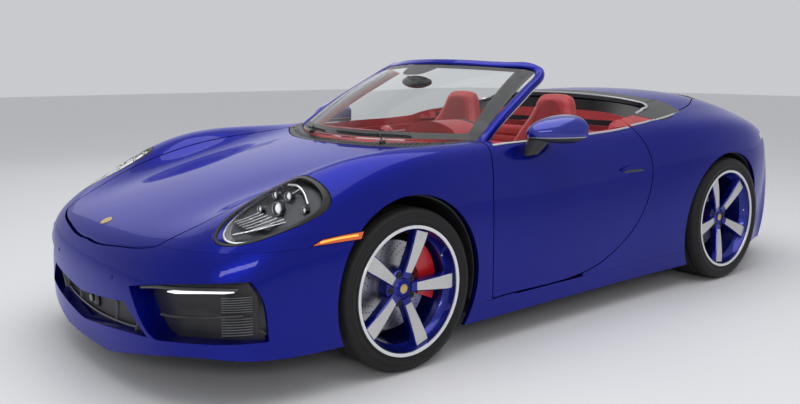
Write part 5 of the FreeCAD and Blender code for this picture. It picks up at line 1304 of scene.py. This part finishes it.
# %% Front seats
SEAT_X = 372
BACK_STATIONS = [  # y, z, half width, depth, bolster, tilt
    (138, 398, 150, 60, 0, 0.24), (146, 412, 226, 100, 22, 0.24), (170, 480, 243, 112, 44, 0.24),
    (200, 570, 247, 116, 46, 0.25), (232, 690, 245, 112, 44, 0.26), (258, 790, 234, 104, 34, 0.27),
    (282, 870, 206, 96, 22, 0.28), (302, 940, 168, 90, 12, 0.27), (316, 1000, 140, 86, 8, 0.25),
    (326, 1050, 121, 80, 6, 0.24), (332, 1082, 98, 62, 3, 0.22), (334, 1094, 60, 34, 0, 0.2)]
SEAT_STATIONS = [  # y, z, half width, height, bolster
    (-306, 392, 190, 50, 0), (-300, 396, 226, 92, 8), (-270, 402, 238, 118, 16), (-200, 400, 242, 122, 26),
    (-80, 396, 243, 120, 30), (60, 390, 243, 112, 32), (130, 386, 236, 104, 26), (168, 384, 180, 70, 6)]

back_pad = Form().rings([back_ring(*row) for row in stations_between(BACK_STATIONS, 48)]).cover(
    "left_seat_back")
seat_pad = Form().rings([pad_ring(SEAT_X, y, z, half, height, 64, bolster) for y, z, half, height, bolster
                         in stations_between(SEAT_STATIONS, 40)]).cover("left_seat_cushion")
stuffed(back_pad, 0.007)
stuffed(seat_pad, 0.008)
for pad in (back_pad, seat_pad, right_pad(back_pad, "right_seat_back"),
            right_pad(seat_pad, "right_seat_cushion")):
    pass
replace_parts(back_pad, "front_seats")

# %% [markdown]
# The middle panels are a darker leather, laid as thin sheets on the filled covers. A seam is a thin
# cord between two panels, with a row of stitches on each side of the panel's edge.

# %% Inserts, seams and stitches of the seats
BACK_SHAPE, CUSHION_SHAPE = mesh_tree(back_pad), mesh_tree(seat_pad)
INSERT_SIDE = ((128, 500), (134, 620), (132, 740), (118, 830), (98, 900), (82, 960), (70, 1010), (44, 1046))
insert_outline = run((SEAT_X - 128, 100, 500), *((SEAT_X + x, 100, z) for x, z in INSERT_SIDE), (SEAT_X, 100, 1058),
                     *((SEAT_X - x, 100, z) for x, z in INSERT_SIDE[:0:-1]))
Form().sheet(insert_outline, FORWARD, 0.0022, 0.002, BACK_SHAPE, 0.016).mirrored().cover(
    "seat_back_inserts", DEEP_LEATHER, 70)
pad_outline = run(*((SEAT_X + x, y, 450) for x, y in ((-130, -250), (130, -250), (136, -100), (132, 60), (-132, 60),
                                                      (-136, -100))))
Form().sheet(pad_outline, DOWN, 0.0022, 0.002, CUSHION_SHAPE, 0.016).mirrored().cover(
    "seat_cushion_inserts", DEEP_LEATHER, 70)
SEAM_SIDE = ((134, 470), (142, 620), (140, 740), (126, 830), (106, 900), (90, 960), (77, 1010))
threads, seams = [], Form()
for side in (-1, 1):
    for shift in (0, 13):
        line = curve(60, *((SEAT_X + side * (x + shift), 100, z) for x, z in SEAM_SIDE))
        spots = laid(line, FORWARD, BACK_SHAPE, 0.5)
        threads.append(raised(spots, 0.0015))
        if not shift:
            seams.tube(raised(spots, 0.0006), 0.0022, 6)
    line = curve(40, *((SEAT_X + side * 144, y, 450) for y in (-255, -150, 0, 80)))
    spots = laid(line, DOWN, CUSHION_SHAPE)
    threads.append(raised(spots, 0.0015))
    seams.tube(raised(spots, 0.0006), 0.0022, 6)
seams.mirrored().cover("seat_seams", DEEP_LEATHER, 38)
stitches("seat_stitches", threads + [mirror(line) for line in threads])

# %% [markdown]
# Behind and under its leather a seat is black plastic: a shell on its back, a base on two rails and the
# switches at its side. Boxes with cut edges are enough, since only their edges show.

# %% Backs, bases and switches of the seats
shell_rings = []
for y, z, half, depth, bolster, tilt in stations_between(BACK_STATIONS[1:9], 20):
    shell_rings.append([at(SEAT_X + share * half * 0.8, y + depth / 2 * (1.02 - 0.18 * share * share) + thick,
                           z - 10)
                        for way, thick in ((1, 0), (-1, 9)) for share in np.linspace(-way, way, 15)])
Form().rings(shell_rings).mirrored().piece("seat_back_shells", BLACK_PLASTIC)
bases = Form().block(at(SEAT_X - 205, -250, 262), at(SEAT_X + 205, 150, 338), 0.018)
for rail in (-150, 150):
    bases.block(at(SEAT_X + rail - 22, -260, 236), at(SEAT_X + rail + 22, 190, 264), 0.006)
bases.mirrored().piece("seat_bases", BLACK_PLASTIC)
switches = Form().block(at(SEAT_X + 206, -180, 300), at(SEAT_X + 218, -60, 322), 0.005)
switches.block(at(SEAT_X + 206, -30, 296), at(SEAT_X + 217, -10, 334), 0.005)
switches.mirrored().piece("seat_switches", BLACK_GLOSS)
print("front seats done, pieces:", len(PIECES))

# %% [markdown]
# The rear seats are two shallow shells whose backs are sewn in level channels. The channels are part of
# the rings themselves, so filling the cover keeps them.

# %% Rear seats
def rear_back_ring(z, x_low=66, x_high=536):
    lean = 524 + (z - 420) * 0.25
    channel = 0 if z < 470 or z > 800 else 7 * abs(math.sin(math.pi * (z - 470) / 66)) ** 0.5 - 7
    crown = min(1.0, max(0.12, (892 - z) / 46)) ** 0.5 * min(1.0, max(0.3, (z - 424) / 30)) ** 0.5
    middle, ring = lean + 34, []
    for turn in turns(48):
        u, v = math.cos(turn), math.sin(turn)
        x = (x_low + x_high) / 2 + blunt(u, 0.4) * (x_high - x_low) / 2 * (0.9 + 0.1 * crown)
        edge = lean + 60 if v > 0 else lean + 8 - channel * (1 - abs(u) ** 6)
        y = middle + (edge - middle) * abs(v) ** 0.4 * (crown if v < 0 else 1)
        ring.append(at(x, min(y, 672), z))
    return ring


REAR_STATIONS = [(386, 352, 150, 60), (392, 356, 200, 130), (430, 358, 206, 138), (500, 352, 206, 126),
                 (560, 346, 204, 112), (592, 344, 160, 60)]
rear_back = Form().rings([rear_back_ring(z) for z in np.linspace(432, 892, 66)]).cover("left_rear_back")
rear_cushion = Form().rings([pad_ring(345, *row, 48) for row in stations_between(REAR_STATIONS, 30)]).cover(
    "left_rear_cushion")
stuffed(rear_back, 0.005)
stuffed(rear_cushion, 0.006)
for pad in (rear_back, rear_cushion, right_pad(rear_back, "right_rear_back"),
            right_pad(rear_cushion, "right_rear_cushion")):
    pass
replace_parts(rear_back, "rear_seats")
shelf = Form().rings([run((x, 612, 430), (x, 676, 430), (x, 676, 898), (x, 652, 898)) for x in (-556, 556)])
shelf.rings([run((x, 540, 300), (x, 600, 300), (x, 600, 640), (x, 566, 640)) for x in (-64, 64)])
shelf.cover("rear_bulkhead_trim", DEEP_LEATHER, 38)

# %% [markdown]
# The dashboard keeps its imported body. What makes it real is set into it: round instruments behind the
# wheel, a dark screen, air vents with blades, a small clock on top, a metal strip and a sewn edge.

# %% Instruments
DASH_SHAPE = tree_of("dashboard")
DIAL_AXIS = Vector((0, 1, 0.25)).normalized()
DIAL_UP = (Vector((0, 0, 1)) - DIAL_AXIS * DIAL_AXIS.z).normalized()
DIAL_SIDE = DIAL_AXIS.cross(DIAL_UP)
dials, dial_faces = Form(), Form()
for place, size in ((-132, 30), (-68, 36), (0, 44), (68, 36), (132, 30)):
    centre, radius = at(SEAT_X + place, -512, 866 - abs(place) * 0.05), size / 1000
    dial_faces.turned([(-0.01, radius), (0.004, radius), (0.0042, 0)], centre, (0, 1, 0.25), 40)
    dials.turned([(0.001, radius + 0.003), (0.008, radius + 0.002), (0.008, radius - 0.002),
                  (0.004, radius - 0.003)], centre, (0, 1, 0.25), 40, closed=True)
    for mark in range(11):
        turn = math.radians(-130 + mark * 26)
        out = DIAL_UP * math.cos(turn) - DIAL_SIDE * math.sin(turn)
        dials.tube([centre + DIAL_AXIS * 0.0046 + out * (radius * share) for share in (0.78, 0.94)], 0.0009, 5)
dial_faces.piece("instrument_faces", BLACK_GLOSS)
dials.piece("instrument_rings", ALUMINIUM)

# %% [markdown]
# The rest of the dashboard is boxes with cut edges, strips laid on its skin and a turned clock.

# %% Dashboard details
Form().block(at(-128, -520, 772), at(128, -462, 868), 0.006).piece("centre_screen", BLACK_GLOSS)
vents, blades = Form(), Form()
for x0, x1 in ((-118, -8), (8, 118), (560, 650), (-650, -560)):
    vents.block(at(x0, -500, 706), at(x1, -455, 762), 0.006)
    for z in (717, 728, 739, 750):
        blades.block(at(x0 + 6, -462, z), at(x1 - 6, -452, z + 4), 0.0015)
vents.piece("air_vents", BLACK_PLASTIC)
blades.piece("air_vent_blades", GREY_PLASTIC)
Form().strip(curve(20, *((x, -470, 800) for x in (-640, -500, -300, -140))), 0.014, 0.003, BACKWARD,
             DASH_SHAPE).piece("dashboard_strip", ALUMINIUM)
CLOCK, CLOCK_AXIS = at(0, -610, 892), (0, 0.75, 0.66)
Form().turned([(-0.01, 0.040), (0.010, 0.040), (0.022, 0.036), (0.026, 0.030)], CLOCK, CLOCK_AXIS, 40).cover(
    "dashboard_clock_pod", angle=38)
Form().turned([(0.024, 0.031), (0.028, 0.030), (0.028, 0.026), (0.024, 0.025)], CLOCK, CLOCK_AXIS, 40,
              closed=True).piece("clock_ring", ALUMINIUM)
stitches("dashboard_stitches",
         [raised(laid(run(*((x, -580, 940) for x in np.linspace(-640, 140, 60))), DOWN, DASH_SHAPE), 0.001)])
Form().strip(run((-600, -470, 690), (-600, -470, 760), (-180, -470, 760), (-180, -470, 690)),
             0.003, 0.001, BACKWARD,
             DASH_SHAPE).piece("glove_box_line", DARK_LEATHER, slot="dark_leather")

# %% [markdown]
# The steering wheel is drawn in its own plane: a grip of even thickness, a padded hub and flat spokes.
# It is built at rest, straight ahead, and the wheel's joint turns it about the column.

# %% Steering wheel
WHEEL_MIDDLE = at(372, -335, 800)
COLUMN = Vector((0, math.cos(math.radians(24)), math.sin(math.radians(24))))
UP = COLUMN.cross(OUTWARD).normalized()
if UP.z < 0:
    UP = -UP


def on_wheel(radius, turn, out=0.0):
    """A point by its radius and turn about the column, in mm and degrees, and its height above the plane."""
    angle = math.radians(turn)
    aside = OUTWARD * math.sin(angle) + UP * math.cos(angle)
    return WHEEL_MIDDLE + aside * radius / 1000 + COLUMN * out / 1000


def steering_piece(form, name, finish):
    return form.piece(name, finish, "steering_wheel", "dark_leather")


rings = []
for turn in np.linspace(0, 360, 96, endpoint=False):
    thick = 15 - 1.5 * abs(math.sin(math.radians(turn * 2)))
    rings.append([on_wheel(180 + thick * math.cos(a), turn, thick * math.sin(a)) for a in turns(16)])
grip = Form().rings(rings, True)
steering_piece(Form().turned([(-0.034, 0.034), (-0.024, 0.058), (-0.006, 0.064), (0.006, 0.060), (0.0105, 0.044),
                              (0.012, 0)], WHEEL_MIDDLE, COLUMN), "steering_hub_pad", DARK_LEATHER)
spokes = Form()
for turn, shift in ((90, 0), (180, -13), (180, 13), (270, 0)):
    rows = []
    for radius in np.linspace(44, 170, 10):
        half = 7 if turn == 180 else 15 - 4 * math.sin((radius - 44) / 126 * math.pi)
        lean, spread = (math.degrees(math.atan2(width, radius)) for width in (shift, half))
        rows.append([on_wheel(radius, turn + lean + spread * share, out)
                     for share, out in ((-1, -10), (-0.9, -3), (0.9, -3), (1, -10))])
    spokes.rings(rows)
steering_piece(spokes, "steering_spokes", ALUMINIUM)
steering_piece(Form().tube([WHEEL_MIDDLE - COLUMN * 0.11, WHEEL_MIDDLE - COLUMN * 0.02], 0.012, 20),
               "steering_column_end", DARK_STEEL)
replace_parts(steering_piece(grip, "steering_grip", DARK_LEATHER), "steering_wheel")
stalks = Form()
for side in (-1, 1):
    stalks.tube(smooth_line([WHEEL_MIDDLE - COLUMN * 0.06 + OUTWARD * side * 0.04,
                             WHEEL_MIDDLE - COLUMN * 0.056 + OUTWARD * side * 0.15], 6),
                [0.006, 0.006, 0.006, 0.007, 0.008, 0.007])
stalks.piece("column_stalks", BLACK_PLASTIC)

# %% [markdown]
# The console carries a dark panel, a padded armrest, the gear selector and two rows of buttons.

# %% Console
REST_STATIONS = [(-96, 520, 70, 8), (-90, 524, 84, 26), (0, 530, 92, 34), (180, 540, 92, 36), (300, 548, 88, 28),
                 (312, 548, 70, 10)]
Form().sheet(run((-82, -540, 600), (82, -540, 600), (82, -160, 600), (-82, -160, 600)), DOWN, 0.0015, 0.002,
             tree_of("centre_console"), 0.025).piece("console_panel", BLACK_GLOSS)
rest = Form().rings([pad_ring(0, *row, 40) for row in stations_between(REST_STATIONS, 24)]).cover(
    "console_armrest")
Form().turned([(0, 0.022), (0.006, 0.020), (0.012, 0.012), (0.045, 0.010), (0.060, 0.017), (0.078, 0.020),
               (0.088, 0.014), (0.091, 0)], at(0, -330, 530), (0, 0.2, 1), 28).piece("gear_selector", BLACK_GLOSS)
buttons = Form()
for row in range(6):
    for x in (-56, 56):
        y, z = -500 + row * 52, 578 - row * 10
        buttons.block(at(x - 15, y, z), at(x + 15, y + 30, z + 10), 0.003)
buttons.piece("console_buttons", GREY_PLASTIC)

# %% [markdown]
# The door trims carry a pull, a release, a metal strip, a speaker ring and two sewn rows. All ride on
# the door, so they swing with it.

# %% Door trims
TRIM_SHAPE = tree_of("left_door_trim")
DOOR_PARTS = [
    ("door_pull", RED_LEATHER, "red_leather",
     Form().tube(curve(20, (700, -330, 640), (676, -300, 660), (672, -120, 668), (700, -80, 650)), 0.010, 12)),
    ("door_release", ALUMINIUM, "black_trim",
     Form().strip(curve(8, (600, -420, 742), (600, -330, 748)), 0.022, 0.008, OUTWARD, TRIM_SHAPE, taper=True)),
    ("door_metal_strip", ALUMINIUM, "black_trim",
     Form().strip(curve(40, (600, -560, 800), (600, -200, 812), (600, 240, 830)), 0.016, 0.003, OUTWARD,
                  TRIM_SHAPE)),
    ("door_speaker", BLACK_PLASTIC, "black_trim",
     Form().turned([(0, 0.078), (0.004, 0.076), (0.006, 0.070), (0.0045, 0.066), (0.0045, 0)],
                   laid([at(600, -480, 440)], OUTWARD, TRIM_SHAPE)[0][0], INWARD, 40))]
rows = [raised(laid(curve(60, *((600, y, z) for y, z in path)), OUTWARD, TRIM_SHAPE), 0.001)
        for path in (((-600, 770), (-200, 782), (300, 800)), ((-560, 560), (-200, 570), (280, 590)))]
for side, flip in (("left", False), ("right", True)):
    for label, finish, slot, form in DOOR_PARTS:
        (form.across() if flip else form).piece(side + "_" + label, finish, side + "_door", slot)
    stitches(side + "_door_stitches", [mirror(row) for row in rows] if flip else rows, side + "_door")
print("cabin done, pieces:", len(PIECES))

# %% [markdown]
# The upper edge of the cabin is trimmed all round: soft caps on the doors, red side panels, and a wall
# that drops from the metal strip to the rear seats, black above and red below. Each is a thin sheet
# laid on the panel that carries it, so it follows the body's curve.

# %% Cabin edge trims
DOOR_SHAPE, QUARTER_SHAPE = tree_of("left_door"), tree_of("rear_quarters")
CAP = ((-640, 800), (-400, 806), (0, 812), (420, 832), (424, 930), (200, 908), (-200, 892), (-600, 882))
Form().sheet(run(*((600, y, z) for y, z in CAP)), OUTWARD, 0.006, 0.001, DOOR_SHAPE, 0.03).on_doors(
    "door_cap", RED_LEATHER, "red_leather")
CORNER_CAP = ((740, 262), (779, 262), (782, 422), (700, 422), (716, 330))
Form().sheet(run(*((x, y, 900) for x, y in CORNER_CAP)), DOWN, 0.003, 0.002, DOOR_SHAPE, 0.02).on_doors(
    "door_corner", RED_LEATHER, "red_leather")
SIDE_PANEL = ((445, 560), (640, 560), (690, 700), (690, 900), (600, 920), (445, 900))
Form().sheet(run(*((500, y, z) for y, z in SIDE_PANEL)), OUTWARD, 0.005, 0.001, QUARTER_SHAPE,
             0.03).mirrored().cover(
    "rear_side_panels", angle=38)

# %% [markdown]
# The wall behind the rear seats is two ribbons that hang from the bright edge of the cockpit. Mats and
# pedals are plain boxes with cut edges.

# %% Rear cabin wall, mats and pedals
THIN = Vector((0, 0.004, 0))
wall_top = both_sides(curve(40, (688, 640, 962), (676, 690, 975), (656, 745, 985),
                            (630, 776, 995), (596, 790, 1006),
                            (516, 756, 1024), (402, 722, 1038), (238, 706, 1045), (0, 700, 1050)))
wall_rings, leather_rings = [], []
for spot in wall_top:
    middle = Vector((spot.x * 0.995, min(spot.y, 0.712), max(spot.z - 0.062, 0.930)))
    foot = Vector((spot.x * 0.965, min(spot.y, 0.668), 0.800))
    wall_rings.append([spot, middle, middle + THIN, spot + THIN])
    leather_rings.append([middle - THIN * 2, foot - THIN * 2, foot, middle])
Form().rings(wall_rings).piece("rear_cabin_wall", BLACK_PLASTIC)
Form().rings(leather_rings).cover("rear_wall_leather", angle=38)
Form().block(at(-562, -660, 190), at(-182, -330, 198), 0.003).block(
    at(182, -660, 190), at(562, -330, 198), 0.003).piece("floor_mats", TOP_CLOTH)
pedals = Form()
for x, wide in ((300, 34), (392, 22), (470, 24)):
    pedals.block(at(x - wide, -668, 300), at(x + wide, -656, 372), 0.004)
    pedals.tube(run((x, -668, 360), (x, -720, 470)), 0.007, 8)
pedals.piece("pedals", DARK_STEEL)

# %% [markdown]
# At the tail a single light band runs across the car, with a row of small cells behind the lens and a
# dark strip below. The engine lid carries a grille of upright slats, and the lower bumper is black with
# two round pipes, reflectors and a blank plate.

# %% Tail lights and engine lid
TAIL_SHAPE = tree_of("rear_bumper", "tail_lamp", "engine_lid", "rear_quarters")
LID_SHAPE = tree_of("engine_lid")
BEHIND = 2300
Form().strip(curve(40, *((x, BEHIND, 809) for x in (0, 200, 400, 560, 680))), 0.007, 0.0022, BACKWARD,
             TAIL_SHAPE).mirrored().piece("tail_light_line", RED_GLOW, slot="tail_lens")
cells = Form()
for index in range(40):
    spot, normal = laid([at(10 + index * 16.5, BEHIND, 800)], BACKWARD, TAIL_SHAPE)[0]
    cells.turned([(-0.001, 0.0048), (0.0012, 0.0044), (0.0016, 0.002), (0.0017, 0)], spot, normal, 8)
cells.mirrored().piece("tail_light_cells", RED_GLOW, slot="tail_lens")
grille = Form()
for index in range(15):
    line = run(*((26 + index * 27, y, 1000) for y in np.linspace(1600, 1770, 8)))
    grille.tube(raised(laid(line, DOWN, LID_SHAPE), 0.002), 0.0065, 6)
grille.mirrored().piece("engine_lid_slats", GREY_PLASTIC, "engine_lid")
Form().sheet(run((-425, 1592, 1000), (425, 1592, 1000), (425, 1780, 1000), (-425, 1780, 1000)), DOWN, 0.0012, 0.002,
             LID_SHAPE, 0.04).piece("engine_lid_grille_base", BLACK_GLOSS, "engine_lid")
Form().strip(curve(16, (-150, 1586, 1000), (0, 1586, 1000), (150, 1586, 1000)),
             0.012, 0.004, DOWN, LID_SHAPE).piece(
    "high_stop_lamp", RED_GLOW, "engine_lid", "tail_lens")

# %% [markdown]
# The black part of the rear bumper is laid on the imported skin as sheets: one patch for each side, and
# two bands between them.

# %% Lower rear trim
SIDE_OUTLINE = ((175, 200), (480, 204), (620, 236), (650, 310), (600, 392), (540, 386), (175, 386))
lower = Form().sheet(run(*((x, BEHIND, z) for x, z in SIDE_OUTLINE)),
                     BACKWARD, 0.002, 0.002, TAIL_SHAPE, 0.03).mirrored()
for low, high in ((362, 386), (200, 238)):
    lower.sheet(run((-173, BEHIND, low), (173, BEHIND, low), (173, BEHIND, high), (-173, BEHIND, high)), BACKWARD,
                0.002, 0.002, TAIL_SHAPE, 0.03)
lower.piece("rear_lower_trim", BLACK_PLASTIC)


# %% [markdown]
# The plate is a plain white tablet on a black frame, and both lean with the tail between two measured
# heights. A sheet laid on the skin would take up its dents; a flat tablet does not.

# %% Blank plate
def tail_tablet(half, low, high, proud, corner=0.008):
    """A flat tablet that leans with the tail between two heights."""
    (foot, _), (head, _) = laid(run((0, BEHIND, low), (0, BEHIND, high)), BACKWARD, TAIL_SHAPE)
    rings = []
    for gap, inset in ((-0.016, 0.0), (proud - 0.0015, 0.0), (proud, 0.0015)):
        wide = half - inset
        edge = [(x, foot.lerp(head, share)) for x, share in (
            (wide - corner, 0), (wide, 0.06), (wide, 0.94), (wide - corner, 1), (corner - wide, 1), (-wide, 0.94),
            (-wide, 0.06), (corner - wide, 0))]
        rings.append([Vector((x, spot.y + gap, spot.z)) for x, spot in edge])
    return Form().rings(rings)


tail_tablet(0.168, 458, 622, 0.003).piece("plate_frame", BLACK_PLASTIC)
tail_tablet(0.156, 470, 610, 0.006).piece("plate_blank", PLATE_WHITE)

# %% [markdown]
# The tail's small parts are laid in the same way: a strip for each reflector, and three slats a side.

# %% Reflectors, slats and sensors
Form().strip(curve(8, *((x, 2200, 352) for x in (560, 620, 668))), 0.022, 0.004, BACKWARD,
             TAIL_SHAPE).mirrored().piece("rear_reflectors", TAIL_LENS, slot="tail_lens")
trim_slats = Form()
for z in (262, 290, 318):
    trim_slats.strip(curve(20, *((x, BEHIND, z) for x in (250, 360, 470, 560))), 0.010, 0.005, BACKWARD, TAIL_SHAPE)
trim_slats.mirrored().piece("rear_trim_slats", BLACK_GLOSS)
sensors("rear_parking_sensors", ((240, BEHIND, 440), (520, BEHIND, 440)), BACKWARD)
print("tail done, pieces:", len(PIECES))

# %% [markdown]
# The interior mirror keeps its packed shell and gets a thin oval glass on the side towards the seats.

# %% Interior mirror
FACE_MIDDLE = at(0, -380, 1160)
Form().rings([[FACE_MIDDLE + Vector((0.105 * math.cos(turn), depth, 0.029 * math.sin(turn)))
               for turn in turns(40)] for depth in (-0.0045, 0.0005)]).piece("interior_mirror_glass", MIRROR_GLASS)

# %% [markdown]
# The studio is plain: a pale floor that runs up into a pale world, one wide soft lamp overhead and two
# weaker ones at the sides, so that a colour renders about as it is written.

# %% Floor, lamps and world
FLOOR = Finish("studio_floor", color=(0.72, 0.72, 0.73), roughness=0.55)
FLOOR_REACH = 30.0
floor_mesh = bpy.data.meshes.new("studio_floor")
corners = [(x * FLOOR_REACH, y * FLOOR_REACH, 0) for x, y in ((-1, -1), (1, -1), (1, 1), (-1, 1))]
floor_mesh.from_pydata(corners, [], [(0, 1, 2, 3)])
floor_mesh.materials.append(FLOOR.material)
floor = bpy.data.objects.new("studio_floor", floor_mesh)
bpy.context.collection.objects.link(floor)


def lamp(name, place, target, size, power):
    data = bpy.data.lights.new(name, "AREA")
    data.shape, data.size, data.size_y, data.energy = "RECTANGLE", *size, power
    item = bpy.data.objects.new(name, data)
    item.location = place
    item.rotation_euler = (Vector(place) - Vector(target)).to_track_quat("Z", "Y").to_euler()
    bpy.context.collection.objects.link(item)


lamp("overhead", (0.5, -0.5, 5.0), (0, 0, 0.5), (5.0, 7.0), 190)
lamp("near_side", (5.0, -4.5, 2.6), (0, -0.5, 0.6), (3.6, 0.6), 55)
lamp("far_side", (-6.0, 1.0, 4.0), (0, 0, 0.6), (6.0, 4.0), 36)
world = bpy.data.worlds.new("studio")
bpy.context.scene.world = world
world.use_nodes = True
backdrop = world.node_tree.nodes["Background"]
backdrop.inputs["Color"].default_value = (0.86, 0.87, 0.9, 1.0)
backdrop.inputs["Strength"].default_value = 0.68
bpy.context.scene.view_settings.view_transform = "Standard"
